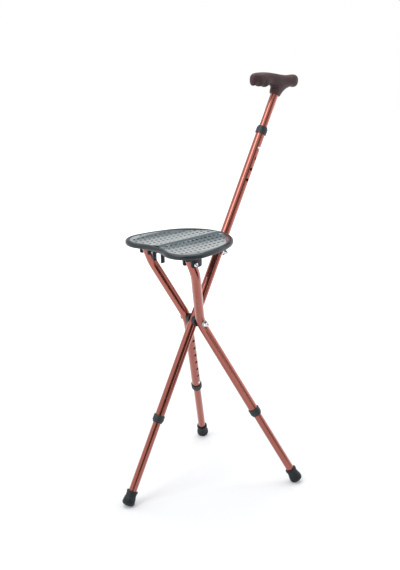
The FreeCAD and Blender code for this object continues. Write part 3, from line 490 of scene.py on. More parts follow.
def seat_vents():
    """Vents in columns either side of the middle, where Field lies below.

    Every second column is half a pitch out.
    """
    tree, add, given = node_group("seat_vents", {
        "Columns": "Int", "Rows": "Int", "Across": "Float", "Pitch": "Float",
        "Cutter": "Object", "Field": "Object", "Finish": "Material"})

    def maths(operation, one, two=0.0, three=0.0):
        return add("ShaderNodeMath", {"operation": operation}, _0=one, _1=two, _2=three)[0]

    columns, rows = given["Columns"], given["Rows"]
    total = maths("MULTIPLY", maths("MULTIPLY_ADD", columns, 2.0, 1.0), rows)
    line = add("GeometryNodeMeshLine", {"mode": "OFFSET"}, Count=total)
    number = add("GeometryNodeInputIndex")[0]
    column = maths("SUBTRACT", maths("FLOOR", maths("DIVIDE", number, rows)), columns)
    row = maths("SUBTRACT", maths("FLOORED_MODULO", number, rows), maths("MULTIPLY", rows, 0.5))
    half = maths("MULTIPLY", maths("FLOORED_MODULO", column, 2.0), 0.5)
    across = maths("MULTIPLY", column, given["Across"])
    along = maths("MULTIPLY", maths("ADD", row, half), given["Pitch"])
    spot = add("ShaderNodeCombineXYZ", X=across, Y=along, Z=1.0)
    spread = add("GeometryNodeSetPosition", Geometry=line[0], Position=spot[0])
    here = add("GeometryNodeInputPosition")[0]
    field = add("GeometryNodeObjectInfo", Object=given["Field"])
    inside = add("GeometryNodeRaycast", _0=field["Geometry"], Source_Position=here)
    surface = add("GeometryNodeRaycast", _0=given[0], Source_Position=here)
    middle = add("FunctionNodeCompare", {"data_type": "FLOAT", "operation": "EQUAL"},
                 A=column, B=0.0)
    missed = add("FunctionNodeBooleanMath", {"operation": "NOT"}, _0=inside["Is Hit"])
    unwanted = add("FunctionNodeBooleanMath", {"operation": "OR"}, _0=middle[0], _1=missed[0])
    kept = add("GeometryNodeDeleteGeometry", {"domain": "POINT"}, Geometry=spread[0],
               Selection=unwanted[0])
    lowered = add("GeometryNodeSetPosition", Geometry=kept[0], Position=surface["Hit Position"])
    cutter = add("GeometryNodeObjectInfo", Object=given["Cutter"])
    vents = add("GeometryNodeInstanceOnPoints", Points=lowered[0], Instance=cutter["Geometry"])
    cut_and_finish(add, given[0], vents[0], given["Finish"])
    return tree


HOLE_NODES = height_holes()
VENT_NODES = seat_vents()


# Tubes
def leg_line(side):
    """The bent leg's centre line in the legs' plane, as points X and Z."""
    steps = 14
    knee, shoulder = Vector((LEG_CORNER, 0)), Vector((HINGE_X, FLARE_TOP))
    splay = radians(LEG_SPLAY)
    end = knee + Vector((sin(splay), -cos(splay))) * LEG_BOTTOM
    start = Vector((HINGE_X, HINGE_REACH + TOP_END))
    line = [start]
    for point, before, after, radius in ((shoulder, start, knee, TOP_BEND),
                                         (knee, shoulder, end, HUB_BEND)):
        into, out = (before - point).normalized(), (after - point).normalized()
        half = into.angle(out) / 2
        centre = point + (into + out).normalized() * (radius / sin(half))
        first, last = point + into * radius / tan(half), point + out * radius / tan(half)
        a, b = (atan2(p.y - centre.y, p.x - centre.x) for p in (first, last))
        b += 2 * pi * round((a - b) / (2 * pi))
        line += [centre + Vector((cos(t), sin(t))) * radius
                 for t in (a + (b - a) * k / steps for k in range(steps + 1))]
    line.append(end)
    return [Vector((side * p.x, p.y)) for p in line]


def filled(line, step):
    """Points added along a line, at most a step apart."""
    made = []
    for a, b in zip(line, line[1:]):
        pieces = max(1, ceil((b - a).length / step))
        made += [a + (b - a) * k / pieces for k in range(pieces)]
    return made + [line[-1]]


def tube_mesh(line, outer, inner, rows):
    """A tube along a line in its XZ plane, with rows of holes, shaded as a true tube.

    Each row is how many holes, their radius, the first one's place, the step and the turn.
    """
    points = filled(line, 9.0)
    last = len(points) - 1
    rings = []
    for radius, order in ((outer, range(last + 1)), (inner, range(last, -1, -1))):
        for i in order:
            ahead = (points[min(i + 1, last)] - points[max(i - 1, 0)]).normalized()
            rings.append([(
                points[i].x + radius * cos(a) * ahead.y, radius * sin(a),
                points[i].y - radius * cos(a) * ahead.x) for a in round_angles(72)])
    mesh = mesh_of(*loft(rings, closed=True))
    for count, radius, start, step, twist in rows:
        mesh = modified(mesh, ("NODES", {
            "node_group": HOLE_NODES, "Count": count, "Start": Vector(start) * MM,
            "Step": Vector(step) * MM, "Turn": Vector((0, radians(twist), 0)),
            "Radius": radius * MM, "Reach": 2 * outer * MM, "Finish": COPPER.material}))
    smooth(mesh, 30)
    core = np.array(filled(points, 1.0)) * MM
    batch = 2000

    def outward(places):
        """Straight away from the nearest point of the centre line, worked out in batches."""
        made = np.zeros_like(places)
        for first in range(0, len(places), batch):
            some = places[first:first + batch]
            flat = some[:, (0, 2)]
            nearest = core[((flat[:, None] - core[None]) ** 2).sum(2).argmin(1)]
            made[first:first + batch] = np.column_stack(
                (flat[:, 0] - nearest[:, 0], some[:, 1], flat[:, 1] - nearest[:, 1]))
        return made / np.linalg.norm(made, axis=1)[:, None].clip(1e-9)

    return true_normals(mesh, outward)


def straight(bottom, top):
    return [Vector((0, bottom)), Vector((0, top))]


def placed(mesh, frame_at):
    mesh.transform(frame_at)
    return mesh


def copper_tube(node, body, line, outer, wall, frame_at, rows):
    mesh = placed(tube_mesh(line, outer, outer - wall, rows), frame_at)
    piece(node, mesh, body, COPPER)


def make_main_tube():
    """The stick's outer tube, with a row of height holes from either end."""
    up, down = (0, 0, HOLE_PITCH), (0, 0, -HOLE_PITCH)
    line = straight(-MAIN_BOTTOM, MAIN_TOP)
    copper_tube("main_tube", "stick", line, TUBE_R, TUBE_WALL, STICK, [
        (HANDLE_HOLES, HOLE_R, (TUBE_R, 0, HANDLE_BUTTON), down, 90),
        (FOOT_HOLES, HOLE_R, (-TUBE_R, 0, -MAIN_BUTTON), up, 90)])


def make_leg_tube(name, side):
    """A leg's bent outer tube, with height holes on its inner side."""
    lower = turn(-side * LEG_SPLAY, "Y")
    start = lower @ Vector((-side * TUBE_R, 0, -LEG_BUTTON)) + Vector((side * LEG_CORNER, 0, 0))
    step = lower @ Vector((0, 0, HOLE_PITCH))
    copper_tube(name + "_leg_tube", name + "_leg", leg_line(side), TUBE_R, TUBE_WALL, LEGS, [
        (FOOT_HOLES, HOLE_R, start, step, 90 - side * LEG_SPLAY)])


def make_inner_tube(name, body, frame_at, bottom, top, button, side):
    """A tube that slides in an outer one, with a hole for its button."""
    hole = (1, BUTTON_R + FIT_GAP, (side * INNER_R, 0, button), (0, 0, 1), 90)
    copper_tube(name + "_tube", body, straight(bottom, top), INNER_R, INNER_WALL, frame_at, [hole])


# Collars, tips and other turned pieces
def facing(side, frame_at, x=0, z=0):
    """A place in a frame, turned so that its own Z axis points to one side."""
    return frame_at @ move(x, 0, z) @ turn(90 * side, "Y")


def make_collar(node, body, frame_at, end, up):
    """A sleeve that is glued on the outer tube's end, with a lip round the inner tube."""
    bore, lip_bore, groove = TUBE_R + FIT_GAP, INNER_R + SLIDE_GAP, COLLAR_R - 0.25
    profile = [
        (bore, -COLLAR_SLEEVE), (COLLAR_R - 0.3, -COLLAR_SLEEVE), (COLLAR_R, -10.4),
        (COLLAR_R, -7.4), (groove, -7.1), (groove, -6.5), (COLLAR_R, -6.2), (COLLAR_R, 1.1),
        (LIP_R, 2.3), (LIP_R, LIP), (lip_bore, LIP), (lip_bore, FIT_GAP), (bore, FIT_GAP)]
    where = frame_at @ move(0, 0, end) @ turn(0 if up else 180, "X")
    piece(node, turned(profile, where, 0.45, 64, bored=True), body, DARK)


def flattened(mesh):
    """A mesh cut off flat where it meets the ground."""
    work = bmesh.new()
    work.from_mesh(mesh)
    cut = bmesh.ops.bisect_plane(
        work, geom=work.verts[:] + work.edges[:] + work.faces[:], dist=1e-6,
        plane_co=(0, 0, 0), plane_no=(0, 0, 1), clear_inner=True)
    rim = [item for item in cut["geom_cut"] if isinstance(item, bmesh.types.BMEdge)]
    bmesh.ops.contextual_create(work, geom=rim)
    work.to_mesh(mesh)
    work.free()
    return smooth(mesh)


def make_tip(node, body, frame_at, foot):
    """A rubber tip with a rounded tread, two grooves and a bead round its mouth."""
    wide, neck, mouth = TIP_R - 0.7, 10.5, INNER_R + FIT_GAP
    tread = [(wide - (TIP_EDGE - TIP_R + wide) * (1 - sin(a)), TIP_EDGE * (1 - cos(a)))
             for a in (radians(10 * k) for k in range(10))]
    profile = [(0, 0)] + tread + [
        (wide - 0.1, 7.4), (wide - 1.1, 7.8), (wide - 1.1, 8.9), (wide - 0.2, 9.3),
        (wide - 0.3, 10.6), (wide - 1.3, 11.0), (wide - 1.3, 12.0), (wide - 0.7, 12.6),
        (neck + 0.7, 16.4), (neck, 19), (neck, 25.6), (neck + 0.9, 26.3), (neck + 0.9, 29),
        (neck + 0.5, TIP_HEIGHT), (mouth, TIP_HEIGHT), (mouth, TIP_FLOOR), (0, TIP_FLOOR)]
    mesh = turned(profile, frame_at @ move(0, 0, -foot), 0.35, 72)
    piece(node, flattened(mesh), body, RUBBER)


def make_button(node, body, frame_at, height, side):
    """A snap button: a shank with a domed end, pointing out of the tube."""
    base, tip, dome = 3.7, TUBE_R + BUTTON_PROUD, 1.6
    profile = [(0, base), (BUTTON_R, base), (BUTTON_R, tip - dome)]
    profile += [(BUTTON_R * cos(a), tip - dome + dome * sin(a))
                for a in (radians(12 * k) for k in range(1, 8))] + [(0, tip)]
    piece(node, turned(profile, facing(side, frame_at, 0, height), 0.15, 40), body, CHROME)


def make_plug(node, body, side):
    """A domed plug with a rim, pressed into the top of a leg."""
    shank, rim = TUBE_R - TUBE_WALL - FIT_GAP, 9.1
    profile = [(0, -4), (shank, -4), (shank, FIT_GAP), (rim, FIT_GAP), (rim - 0.2, 0.9),
               (rim - 0.9, 1.4), (0, 1.5)]
    where = LEGS @ move(side * HINGE_X, 0, HINGE_REACH + TOP_END)
    piece(node, turned(profile, where, 0.3, 48), body, DARK)


# Nuts and bolts
def hexagon(flats, bottom, top, frame_at):
    """A six-sided head whose top corners are turned off down to a circle."""
    segments, reach, chamfer, turned_off = 72, flats / 2, 0.9, 0.985
    edges = [(a, reach / cos((a + pi / 6) % (pi / 3) - pi / 6)) for a in round_angles(segments)]
    rings = [[(edge * cos(a), edge * sin(a), z) for a, edge in edges]
             for z in (bottom, bottom + chamfer, top - chamfer)]
    rings += circles([(reach * turned_off, top)], segments)
    return mesh_of(*loft(rings), frame_at)


def domed_nut(x, side, z=0):
    """The two shells of a nut with a closed dome, on the stick and facing one side."""
    where, flat = facing(side, STICK, x, z), 6
    dome = [(NUT_DOME * cos(a), flat + DOME_HEIGHT * sin(a))
            for a in (radians(10 * k) for k in range(9))]
    cap = [(0, flat - 1), (NUT_DOME, flat - 1)] + dome + [(0, flat + DOME_HEIGHT)]
    return [hexagon(NUT_FLATS, 0, flat, where), turned(cap, where, 0.1, 48)]


def make_hub():
    """The bolt that all three tubes turn on, its nut, its washers and the spacers."""
    washer, bolt = HUB_SIDE + 1, 3
    start, length = -washer - FIT_GAP, 2 * washer + 5
    piece("hub_nut", joined(domed_nut(-start, 1)), "stick", CHROME)
    outward, inward = facing(-1, STICK, start), facing(1, STICK, start)
    head = hexagon(NUT_FLATS, 0, 3.6, outward)
    cap = turned([(0, 3), (4.2, 3), (4.2, 3.4), (2.6, 3.9), (0, 4)], outward, 0.25, 48)
    shank = turned([(0, 0), (bolt, 0), (bolt, length), (0, length)], inward, 0.3, 40)
    piece("hub_bolt", joined([head, cap, shank]), "stick", CHROME)
    ring = [(BOLT_BORE, 0), (7, 0), (7, 1), (BOLT_BORE, 1)]
    discs = [turned(ring, facing(1, STICK, x), 0.25, 56, bored=True) for x in (HUB_SIDE, -washer)]
    piece("hub_washers", joined(discs), "stick", STEEL)
    for name, side in SIDES.items():
        make_spacer("hub_spacer_" + name, side)


def make_spacer(node, side):
    """A saddle between the stick and a leg: a disc hollowed to the stick's curve."""
    far = HUB_OFFSET - TUBE_R - FACE_GAP
    rings = []
    for r, x in ((BOLT_BORE, far), (9.8, far), (10.6, far - 0.15), (SPACER_R, far - 0.8),
                 (SPACER_R, None), (BOLT_BORE, None)):
        ring = []
        for a in round_angles(72):
            y, z = r * cos(a), r * sin(a)
            hollow = max(sqrt(max((TUBE_R + FIT_GAP) ** 2 - y * y, 0)), SPACER_WRAP)
            ring.append((side * (hollow if x is None else x), y, z))
        rings.append(ring)
    piece(node, mesh_of(*loft(rings, closed=True), STICK), "stick", DARK)


def make_seat_pin_nuts():
    start = HOOK_X + HOOK_THICK + FACE_GAP
    nuts = [m for side in (1, -1) for m in domed_nut(side * start, side, PIN_REACH)]
    piece("seat_pin_nuts", joined(nuts), "stick", CHROME)


def make_hinge_bolts():
    """The bolts that hinge the ears on the leg tops: domed heads with sockets, and nuts."""
    outer = HINGE_X + TUBE_R + EAR_GAP + EAR_THICK + FIT_GAP
    inner = HINGE_X - TUBE_R - EAR_GAP - EAR_THICK - FIT_GAP
    heads, nuts = [], []
    shank, end = 2.5, inner - outer - 3.5
    dome = [(4.75 * cos(a), HINGE_HEAD * sin(a)) for a in (radians(12 * k) for k in range(6))]
    head = [(0, 0)] + dome + [(1.7, 2.85), (1.45, 1.3), (0, 1.3)]
    rod = [(0, 0.4), (shank, 0.4), (shank, end + 0.3), (0, end)]
    for side in (1, -1):
        at = facing(side, SEAT, side * outer)
        heads += [turned(head, at, 0.12, 48), turned(rod, at, 0.3, 32)]
        nuts.append(hexagon(8, 0, 3.5, facing(-side, SEAT, side * inner)))
    piece("seat_hinge_bolts", joined(heads), "seat", CHROME)
    piece("seat_hinge_nuts", joined(nuts), "seat", STEEL)


# Seat
def seat_arcs(inset):
    """Arcs of the heart-shaped outline, moved in: centre, radius, from, to, in order."""
    first, second, third = radians(REAR_ANGLE), radians(SIDE_ANGLE), -radians(LOBE_ANGLE)
    rear = Vector((0, SEAT_REAR - REAR_R))
    side = rear + Vector((cos(first), sin(first))) * (REAR_R - SIDE_R)
    lobe = side + Vector((cos(second), sin(second))) * (SIDE_R - LOBE_R)
    notch_r = -lobe.x / cos(third) - LOBE_R
    notch = lobe + Vector((cos(third), sin(third))) * (LOBE_R + notch_r)
    right = [(lobe, LOBE_R - inset, third, second), (side, SIDE_R - inset, second, first)]
    left = [(Vector((-c.x, c.y)), r, pi - b, pi - a) for c, r, a, b in right[::-1]]
    return right + [(rear, REAR_R - inset, first, pi - first)] + left + [
        (notch, notch_r + inset, -third, third + pi)]


def seat_outline(inset):
    """Points round the seat, moved in by inset, the same count for any inset."""
    points = []
    counts = 44, 24, 46, 24, 44, 14
    for (centre, radius, start, end), count in zip(seat_arcs(inset), counts):
        for k in range(count):
            a = start + (end - start) * k / count
            points.append((centre.x + radius * cos(a), centre.y + radius * sin(a)))
    return points


def make_rim():
    """The rounded band round the seat, with a ledge that the panel rests on."""
    low, high, r = SEAT_LIFT, SEAT_LIFT + RIM_HEIGHT, RIM_EDGE
    ledge = PANEL_TOP - PANEL_THICK
    quarter = [radians(15 * k) for k in range(7)]
    section = [(r * (1 - sin(a)), low + r * (1 - cos(a))) for a in quarter]
    section += [(r * (1 - cos(a)), high - r * (1 - sin(a))) for a in quarter]
    section += [
        (RIM_WIDTH - 0.9, high - 0.1), (RIM_WIDTH - 0.2, high - 0.6), (RIM_WIDTH, high - 1.4),
        (RIM_WIDTH, ledge), (RIM_WIDTH + LEDGE, ledge), (RIM_WIDTH + LEDGE, low)]
    rings = [[(x, y, z) for x, y in seat_outline(inset)] for inset, z in section]
    return mesh_of(*loft(rings, closed=True))


def plate(outline, low, high, axis, edge):
    """A flat piece of the given outline, from low to high along X, Y or Z, edges rounded."""
    order = {"X": (2, 0, 1), "Y": (0, 2, 1), "Z": (0, 1, 2)}[axis]
    rings = [[[(a, b, c)[i] for i in order] for a, b in outline] for c in (low, high)]
    return soften(mesh_of(*loft(rings)), edge)


def arc(centre, radius, start, end, steps):
    angles = [radians(start + (end - start) * k / steps) for k in range(steps + 1)]
    return [(centre[0] + radius * cos(a), centre[1] + radius * sin(a)) for a in angles]


def twin_plates(outline, x, thick, edge):
    """A plate that starts at a distance from the middle, and its twin on the left."""
    return [plate(outline, x, x + thick, "X", edge), plate(outline, -x - thick, -x, "X", edge)]


def make_ears():
    """The four plates that the leg tops turn between."""
    corner, top = 4, SEAT_LIFT + 2
    outline = arc((corner - EAR_FRONT, corner - EAR_DROP), corner, 180, 270, 6)
    outline += arc((EAR_REAR - corner, corner - EAR_DROP), corner, 270, 360, 6)
    outline += [(EAR_REAR, top), (-EAR_FRONT, top)]
    gap = TUBE_R + EAR_GAP
    outer, inner = HINGE_X + gap, HINGE_X - gap - EAR_THICK
    return [ear for x in (outer, inner) for ear in twin_plates(outline, x, EAR_THICK, 0.7)]


def hook_centre():
    """The seat's pin from the hinge line, in the seat's own frame."""
    return SEAT.inverted() @ STICK @ Vector((0, 0, PIN_REACH * MM)) / MM


def make_hooks():
    """The two plates whose slots drop over the stick's pin."""
    _, y, z = hook_centre()
    slant = 180 + SLOT_SLANT
    across = degrees(asin(SLOT_HALF / HOOK_R))
    top = SEAT_LIFT + 2
    outline = [(y - HOOK_R, top)]
    outline += arc((y, z), HOOK_R, 180, slant - across, 4)
    outline += arc((y, z), SLOT_HALF, slant - 90, slant - 270, 14)
    outline += arc((y, z), HOOK_R, slant + across, 360, 14)
    outline += [(y + HOOK_R, top)]
    return twin_plates(outline, HOOK_X, HOOK_THICK, 0.6)


def make_clips():
    """Two springy tabs with beads, which hold the folded stick."""
    inner, top = TUBE_R + CLIP_GAP, SEAT_LIFT + 3
    outer = inner + CLIP_THICK
    outline = [
        (inner, top), (inner, -2.6), (inner - 0.7, -3.4), (inner - 1, -4.2), (inner - 0.7, -4.9),
        (inner, -CLIP_DROP), (outer - 1, -CLIP_DROP), (outer, -4), (outer, top)]
    front, rear = -CLIP_FRONT, CLIP_WIDTH - CLIP_FRONT
    return [plate([(side * x, z) for x, z in outline], front, rear, "Y", 0.5) for side in (1, -1)]


def make_seat_frame():
    """Rim, ribs, ears, hooks and clips, which are one moulding."""
    ledge = PANEL_TOP - PANEL_THICK - FIT_GAP
    notch = min(y for x, y in seat_outline(6) if abs(x) < 2)
    ribs = [
        plate([(-half, front), (half, front), (half, rear), (-half, rear)],
              SEAT_LIFT, ledge, "Z", 0.8)
        for half, front, rear in ((WEB_HALF, -EAR_FRONT, WEB_WIDTH - EAR_FRONT),
                                  (SPINE_HALF, notch, SEAT_REAR - SPINE_END))]
    meshes = [make_rim()] + ribs + make_ears() + make_hooks() + make_clips()
    piece("seat_frame", placed(joined(meshes), SEAT), "seat", RIM)


def panel_height(x, y):
    """The panel's top at a place: two shallow dishes with a ridge between them."""
    across = (abs(x) - DISH_MIDDLE[0]) / DISH_HALF[0]
    along = (y - DISH_MIDDLE[1]) / DISH_HALF[1]
    dished = PANEL_TOP - DISH * np.clip(1 - across ** 2 - along ** 2, 0, 1)
    ridge = PANEL_TOP + RIDGE - x * x / (2 * RIDGE_R)
    seam = 1.2
    mix = np.clip((ridge - dished) / seam + 0.5, 0, 1)
    return dished * (1 - mix) + ridge * mix - seam / 2 * mix * (1 - mix)


def panel_mesh(inset):
    """The panel before its vents are cut: a grid of points inside its border."""
    spacing, reach = 2.6, range(-40, 60)
    edge = [Vector(p) for p in seat_outline(inset)]
    count = len(edge)
    field = np.array(seat_outline(inset + 0.6 * spacing))
    grid = [(i * spacing, j * spacing) for i in reach for j in reach]
    points, _, faces, *_ = delaunay_2d_cdt(
        edge + [Vector(p) for p in grid if within(p, field)],
        [(i, (i + 1) % count) for i in range(count)], [], 1, 1e-5)
    flat = np.array([tuple(p) for p in points])
    top = panel_height(flat[:, 0], flat[:, 1])
    low = PANEL_TOP - PANEL_THICK
    total = len(flat)
    places = [(x, y, z) for (x, y), z in zip(flat, top)] + [(x, y, low) for x, y in flat]
    shell = [tuple(f) for f in faces] + [tuple(v + total for v in reversed(f)) for f in faces]
    shell += [(i, (i + 1) % count, (i + 1) % count + total, i + total) for i in range(count)]
    return mesh_of(places, shell)


def within(point, ring):
    """Whether a point lies inside a ring of points."""
    x, y = point
    ax, ay = ring[:, 0], ring[:, 1]
    bx, by = np.roll(ax, -1), np.roll(ay, -1)
    crossing = (ay > y) != (by > y)
    with np.errstate(divide="ignore", invalid="ignore"):
        at = ax + (y - ay) / (by - ay) * (bx - ax)
    return bool(np.count_nonzero(crossing & (x < at)) % 2)


def make_seat_panel():
    """The dished panel, with its vents cut in columns."""
    inset = RIM_WIDTH + PANEL_GAP
    cutter = in_scene("vent_cutter", vent_cutter())
    border = [(x, y, 0) for x, y in seat_outline(inset + VENT_MARGIN)]
    field = in_scene("vent_field", mesh_of(border, [tuple(range(len(border)))]))
    mesh = modified(panel_mesh(inset), ("NODES", {
        "node_group": VENT_NODES, "Columns": 9, "Rows": 50, "Across": VENT_ROW * MM,
        "Pitch": VENT_PITCH * MM, "Cutter": cutter, "Field": field, "Finish": PANEL.material}))
    for helper in (cutter, field):
        bpy.data.objects.remove(helper)
    smooth(mesh, 30)

    def upward(places):
        """Square to the dished top, and straight up for the flat underside."""
        x, y = places[:, 0] / MM, places[:, 1] / MM
        step = 0.05
        rise_x = (panel_height(x + step, y) - panel_height(x - step, y)) / (2 * step)
        rise_y = (panel_height(x, y + step) - panel_height(x, y - step)) / (2 * step)
        made = np.column_stack((-rise_x, -rise_y, np.ones_like(x)))
        made[places[:, 2] < (PANEL_TOP - PANEL_THICK + 0.2) * MM] = (0, 0, 1)
        return made / np.linalg.norm(made, axis=1)[:, None]

    true_normals(mesh, upward, 0.97)
    piece("seat_panel", placed(mesh, SEAT), "seat", PANEL)


def vent_cutter():
    """A vent's cutter: a rod with a flare that breaks the vent's top edge."""
    flare = VENT_R + 0.5
    profile = [(0, -9), (VENT_R, -9), (VENT_R, -0.45), (flare, 0.12), (flare, 3), (0, 3)]
    return mesh_of(*loft(circles(profile, 20), capped=False))


# Grip
def curve_through(stations):
    """A smooth curve through pairs of position and value, for looking values up."""
    at, value = np.array(stations, float).T
    slope = np.gradient(value, at)

    def read(x):
        i = int(np.clip(np.searchsorted(at, x) - 1, 0, len(at) - 2))
        width = at[i + 1] - at[i]
        t = min(max((x - at[i]) / width, 0), 1)
        return ((1 + 2 * t) * (1 - t) ** 2 * value[i] + t * (1 - t) ** 2 * width * slope[i]
                + t * t * (3 - 2 * t) * value[i + 1] + t * t * (t - 1) * width * slope[i + 1])

    return read


def neck_rings():
    """The grip's neck, from its mouth up: it spreads into a web before and behind."""
    mouth, step, widening = 11.1, 0.5, 0.05
    ahead = curve_through([(0, mouth), (7.5, 13.6), (15, 17), (23, 22.5), (28, 27.5), (31, 31)])
    behind = curve_through([(0, mouth), (6.6, 13.2), (13, 16.5), (15.5, 24), (31, 26)])
    rings = []
    for k in range(62):
        z = step + step * k
        across = mouth + widening * z
        rings.append([
            (across * cos(a), (ahead(z) if sin(a) > 0 else behind(z)) * sin(a), z - step)
            for a in round_angles(64)])
    return rings


def make_grip():
    """A handle with a bulb at the palm and grooves for the fingers under its front."""
    top = curve_through([
        (-81, 3), (-79.5, 10), (-75, 15), (-68, 16.8), (-58, 17.4), (-36, 16.8), (-15, 14),
        (3.5, 11), (21, 9.5), (32, 10), (39, 10.2), (45.5, 7.6), (48.9, 3), (49.8, 0)])
    low = curve_through([
        (-81, 2), (-79.5, -4), (-75.5, -8), (-67.5, -4), (-60, -10.2), (-53, -5.8), (-46, -11.6),
        (-33, -7), (-27, -9), (-19, -12), (0, -13), (10, -14), (18.5, -14.3), (29.5, -13.5),
        (37.5, -15.2), (43, -13.8), (47.5, -8), (49.8, -1)])
    wide = curve_through([
        (-81, 1), (-79.5, 4.5), (-76.5, 7.5), (-72, 10), (-62, 13), (-50, 13.8), (-35, 13.5),
        (-15, 13.3), (4, 13), (22, 13.3), (36, 13), (43, 10.5), (47.5, 6.5), (49.3, 3.2),
        (49.8, 1)])
    rings, steps, centre, half_length = [], 100, -15.6, 65.3
    squareness = 2 / 2.35
    for k in range(steps + 1):
        y = centre - half_length * cos(pi * k / steps)
        middle, tall = (top(y) + low(y)) / 2, (top(y) - low(y)) / 2
        ring = []
        for a in round_angles(48):
            x, z = (copysign(abs(v) ** squareness, v) for v in (cos(a), sin(a)))
            ring.append((wide(y) * x, y, middle + max(tall, 0.4) * z))
        rings.append(ring)
    bar = mesh_of(*loft(rings), GRIP)
    neck = mesh_of(*loft(neck_rings()), STICK @ move(0, 0, SOCKET_HEIGHT))
    mesh = modified(
        joined([bar, neck]),
        ("REMESH", {"mode": "VOXEL", "voxel_size": 0.8 * MM, "use_smooth_shade": True}),
        ("SMOOTH", {"factor": 0.5, "iterations": 9}))
    piece("handle_grip", smooth(mesh, 60), "handle", GRIP_SKIN)


# The pieces
def make_stick():
    """The stick with its hub, the nuts of its pin, and the handle section."""
    make_main_tube()
    make_collar("upper_collar", "stick", STICK, MAIN_TOP, True)
    make_hub()
    make_seat_pin_nuts()
    bottom, top = MAIN_TOP - HANDLE_INSERT, SOCKET_HEIGHT + TUBE_IN_GRIP
    make_inner_tube("handle", "handle", STICK, bottom, top, HANDLE_BUTTON, 1)
    make_button("handle_button", "handle_snap_button", STICK, HANDLE_BUTTON, 1)
    make_grip()


def make_foot_section(name, carrier, collar, frame_at, foot, end, button, side):
    """An end of the stick or a leg: its collar, and the tube, tip and button that slide."""
    body = name + "_foot"
    bottom, top = TIP_FLOOR + WASHER_THICK + 2 * FIT_GAP - foot, FOOT_INSERT - end
    make_collar(collar, carrier, frame_at, -end, False)
    make_inner_tube(body, body, frame_at, bottom, top, -button, side)
    make_tip(body + "_tip", body, frame_at, foot)
    make_button(body + "_button", body + "_snap_button", frame_at, -button, side)


def dress_plain_solids():
    """Finishes for the inner solids, which keep their own shape."""
    finishes = ("spring", SPRING), ("washer", STEEL), ("pin", STEEL), ("bush", DARK)
    for node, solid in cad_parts.items():
        for word, finish in finishes:
            if word in node and not node.endswith("nuts"):
                dress(solid.data, finish)
                break


make_stick()
for name, side in SIDES.items():
    make_leg_tube(name, side)
    make_plug(name + "_leg_plug", name + "_leg", side)
make_foot_section("main", "stick", "main_collar", STICK, MAIN_FOOT, MAIN_BOTTOM, MAIN_BUTTON, -1)
for name, side in SIDES.items():
    make_foot_section(name, name + "_leg", name + "_leg_collar", lower_leg(side), LEG_FOOT,
                      LEG_BOTTOM, LEG_BUTTON, -side)
make_hinge_bolts()
make_seat_frame()
make_seat_panel()
dress_plain_solids()


# Camera, floor and light
AZIMUTH, ELEVATION, DISTANCE, LENS = 49.07, 16.16, 1.8, 57.44
AIM_HEIGHT, AIM_RIGHT, AIM_DOWN = 0.45, 0.0123, 0.0226
MIDDLE = Vector((0, HUB[1] * MM, 0))
UPWARD = Vector((0, 0, 1))
SQUARE = (-1, -1), (1, -1), (1, 1), (-1, 1)


def make_camera():
    """The camera at the photograph's angle, and its right, its forward and its aim."""
    azimuth, elevation = radians(AZIMUTH), radians(ELEVATION)
    ahead = Vector((-sin(azimuth) * cos(elevation), cos(azimuth) * cos(elevation), -sin(elevation)))
    right = Vector((cos(azimuth), sin(azimuth), 0))
    up = right.cross(ahead)
    aim = MIDDLE + UPWARD * AIM_HEIGHT + right * AIM_RIGHT - up * AIM_DOWN
    camera = bpy.data.cameras.new("photograph")
    camera.lens, camera.sensor_width, camera.clip_end = LENS, 36, 20
    holder = in_scene("photograph", camera)
    facing = Matrix((right, up, -ahead)).transposed().to_4x4()
    holder.matrix_world = Matrix.Translation(aim - ahead * DISTANCE) @ facing
    bpy.context.scene.camera = holder
    return right, ahead, aim


RIGHT, AHEAD, AIM = make_camera()
LEVEL_AHEAD = Vector((AHEAD.x, AHEAD.y, 0)).normalized()


def softbox(name, across, above, near, wide, tall, power):
    """A soft light, placed from the camera's own directions and aimed at the object."""
    light = bpy.data.lights.new(name, "AREA")
    light.shape, light.size, light.size_y, light.energy = "RECTANGLE", wide, tall, power
    holder = in_scene(name, light)
    spot = AIM + RIGHT * across + UPWARD * above - AHEAD * near
    holder.location = spot
    holder.rotation_euler = (AIM - spot).to_track_quat("-Z", "Y").to_euler()


def sheet(name, corners, finish):
    """A flat four-sided piece of the studio, not of the object."""
    mesh = bpy.data.meshes.new(name)
    mesh.from_pydata(corners, [], [(0, 1, 2, 3)])
    mesh.materials.append(finish.material)
    made = in_scene(name, mesh)
    return made


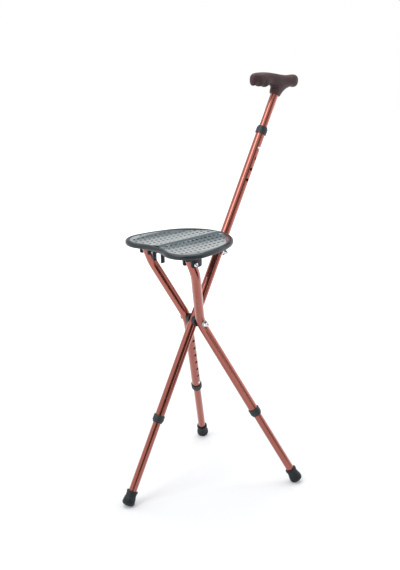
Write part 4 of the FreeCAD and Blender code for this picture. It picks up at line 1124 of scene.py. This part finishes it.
def make_floor():
    """A wide pale floor that fades to white away from the object."""
    paper = Finish("white_paper", Base_Color=(0.80, 0.80, 0.80), Roughness=0.9)
    reach = paper.node("ShaderNodeVectorMath", {"operation": "LENGTH"}, {0: paper.place()}, "Value")
    direct = paper.background_rays() * reach.stretched(0.25, 1.6, 0.16, 0.75)
    paper.set("Emission Color", paper.blend(direct, (0, 0, 0), (1, 1, 1)))
    paper.set("Emission Strength", 1.0)
    half = 6
    sheet("floor", [(half * x, half * y, 0) for x, y in SQUARE], paper)


def dark_card(name, across, height, near, wide, tall, up=UPWARD, grey=0.02):
    """A card that only the object's gloss sees, as dark as the room round a studio."""
    middle = MIDDLE + UPWARD * height + RIGHT * across - LEVEL_AHEAD * near
    corners = [middle + RIGHT * (x * wide / 2) + up * (z * tall / 2) for x, z in SQUARE]
    card = sheet(name, corners, Finish(name, Base_Color=(grey, grey, grey), Roughness=0.9))
    card.visible_camera = card.visible_diffuse = card.visible_shadow = False
    card.visible_transmission = False


def make_world():
    """Soft grey light all round, with white where the backdrop itself is seen."""
    world = bpy.data.worlds.new("studio")
    bpy.context.scene.world = world
    world.use_nodes = True
    shading = Shading(world.node_tree)
    nodes = shading.tree.nodes
    soft = nodes["Background"]
    shading.give(soft.inputs["Color"], (0.62, 0.64, 0.66))
    white = shading.node("ShaderNodeBackground", {}, {"Color": (1, 1, 1)})
    mixed = shading.node("ShaderNodeMixShader", {}, {
        0: shading.background_rays(), 1: Value(shading, soft.outputs[0]), 2: white})
    shading.give(nodes["World Output"].inputs["Surface"], mixed)


softbox("key", -1.1, 1.3, 1.0, 0.9, 1.4, 17)
softbox("rim", 1.8, 0.8, -0.6, 0.3, 1.6, 3)
softbox("top", 0.0, 1.7, -0.5, 1.6, 1.2, 16)
make_floor()
dark_card("room", 0.15, 0.6, 1.5, 1.5, 1.2)
dark_card("carpet", 1.0, 0.03, 0.5, 1.1, 0.8, LEVEL_AHEAD)
dark_card("doorway", 1.5, 0.25, 0.85, 0.9, 0.6)
dark_card("corner", 1.3, 1.5, 1.5, 0.9, 1.4)
dark_card("ceiling", 0.0, 2.2, -2.2, 4.0, 1.9, grey=0.42)
make_world()
bpy.context.scene.view_settings.view_transform = "Standard"
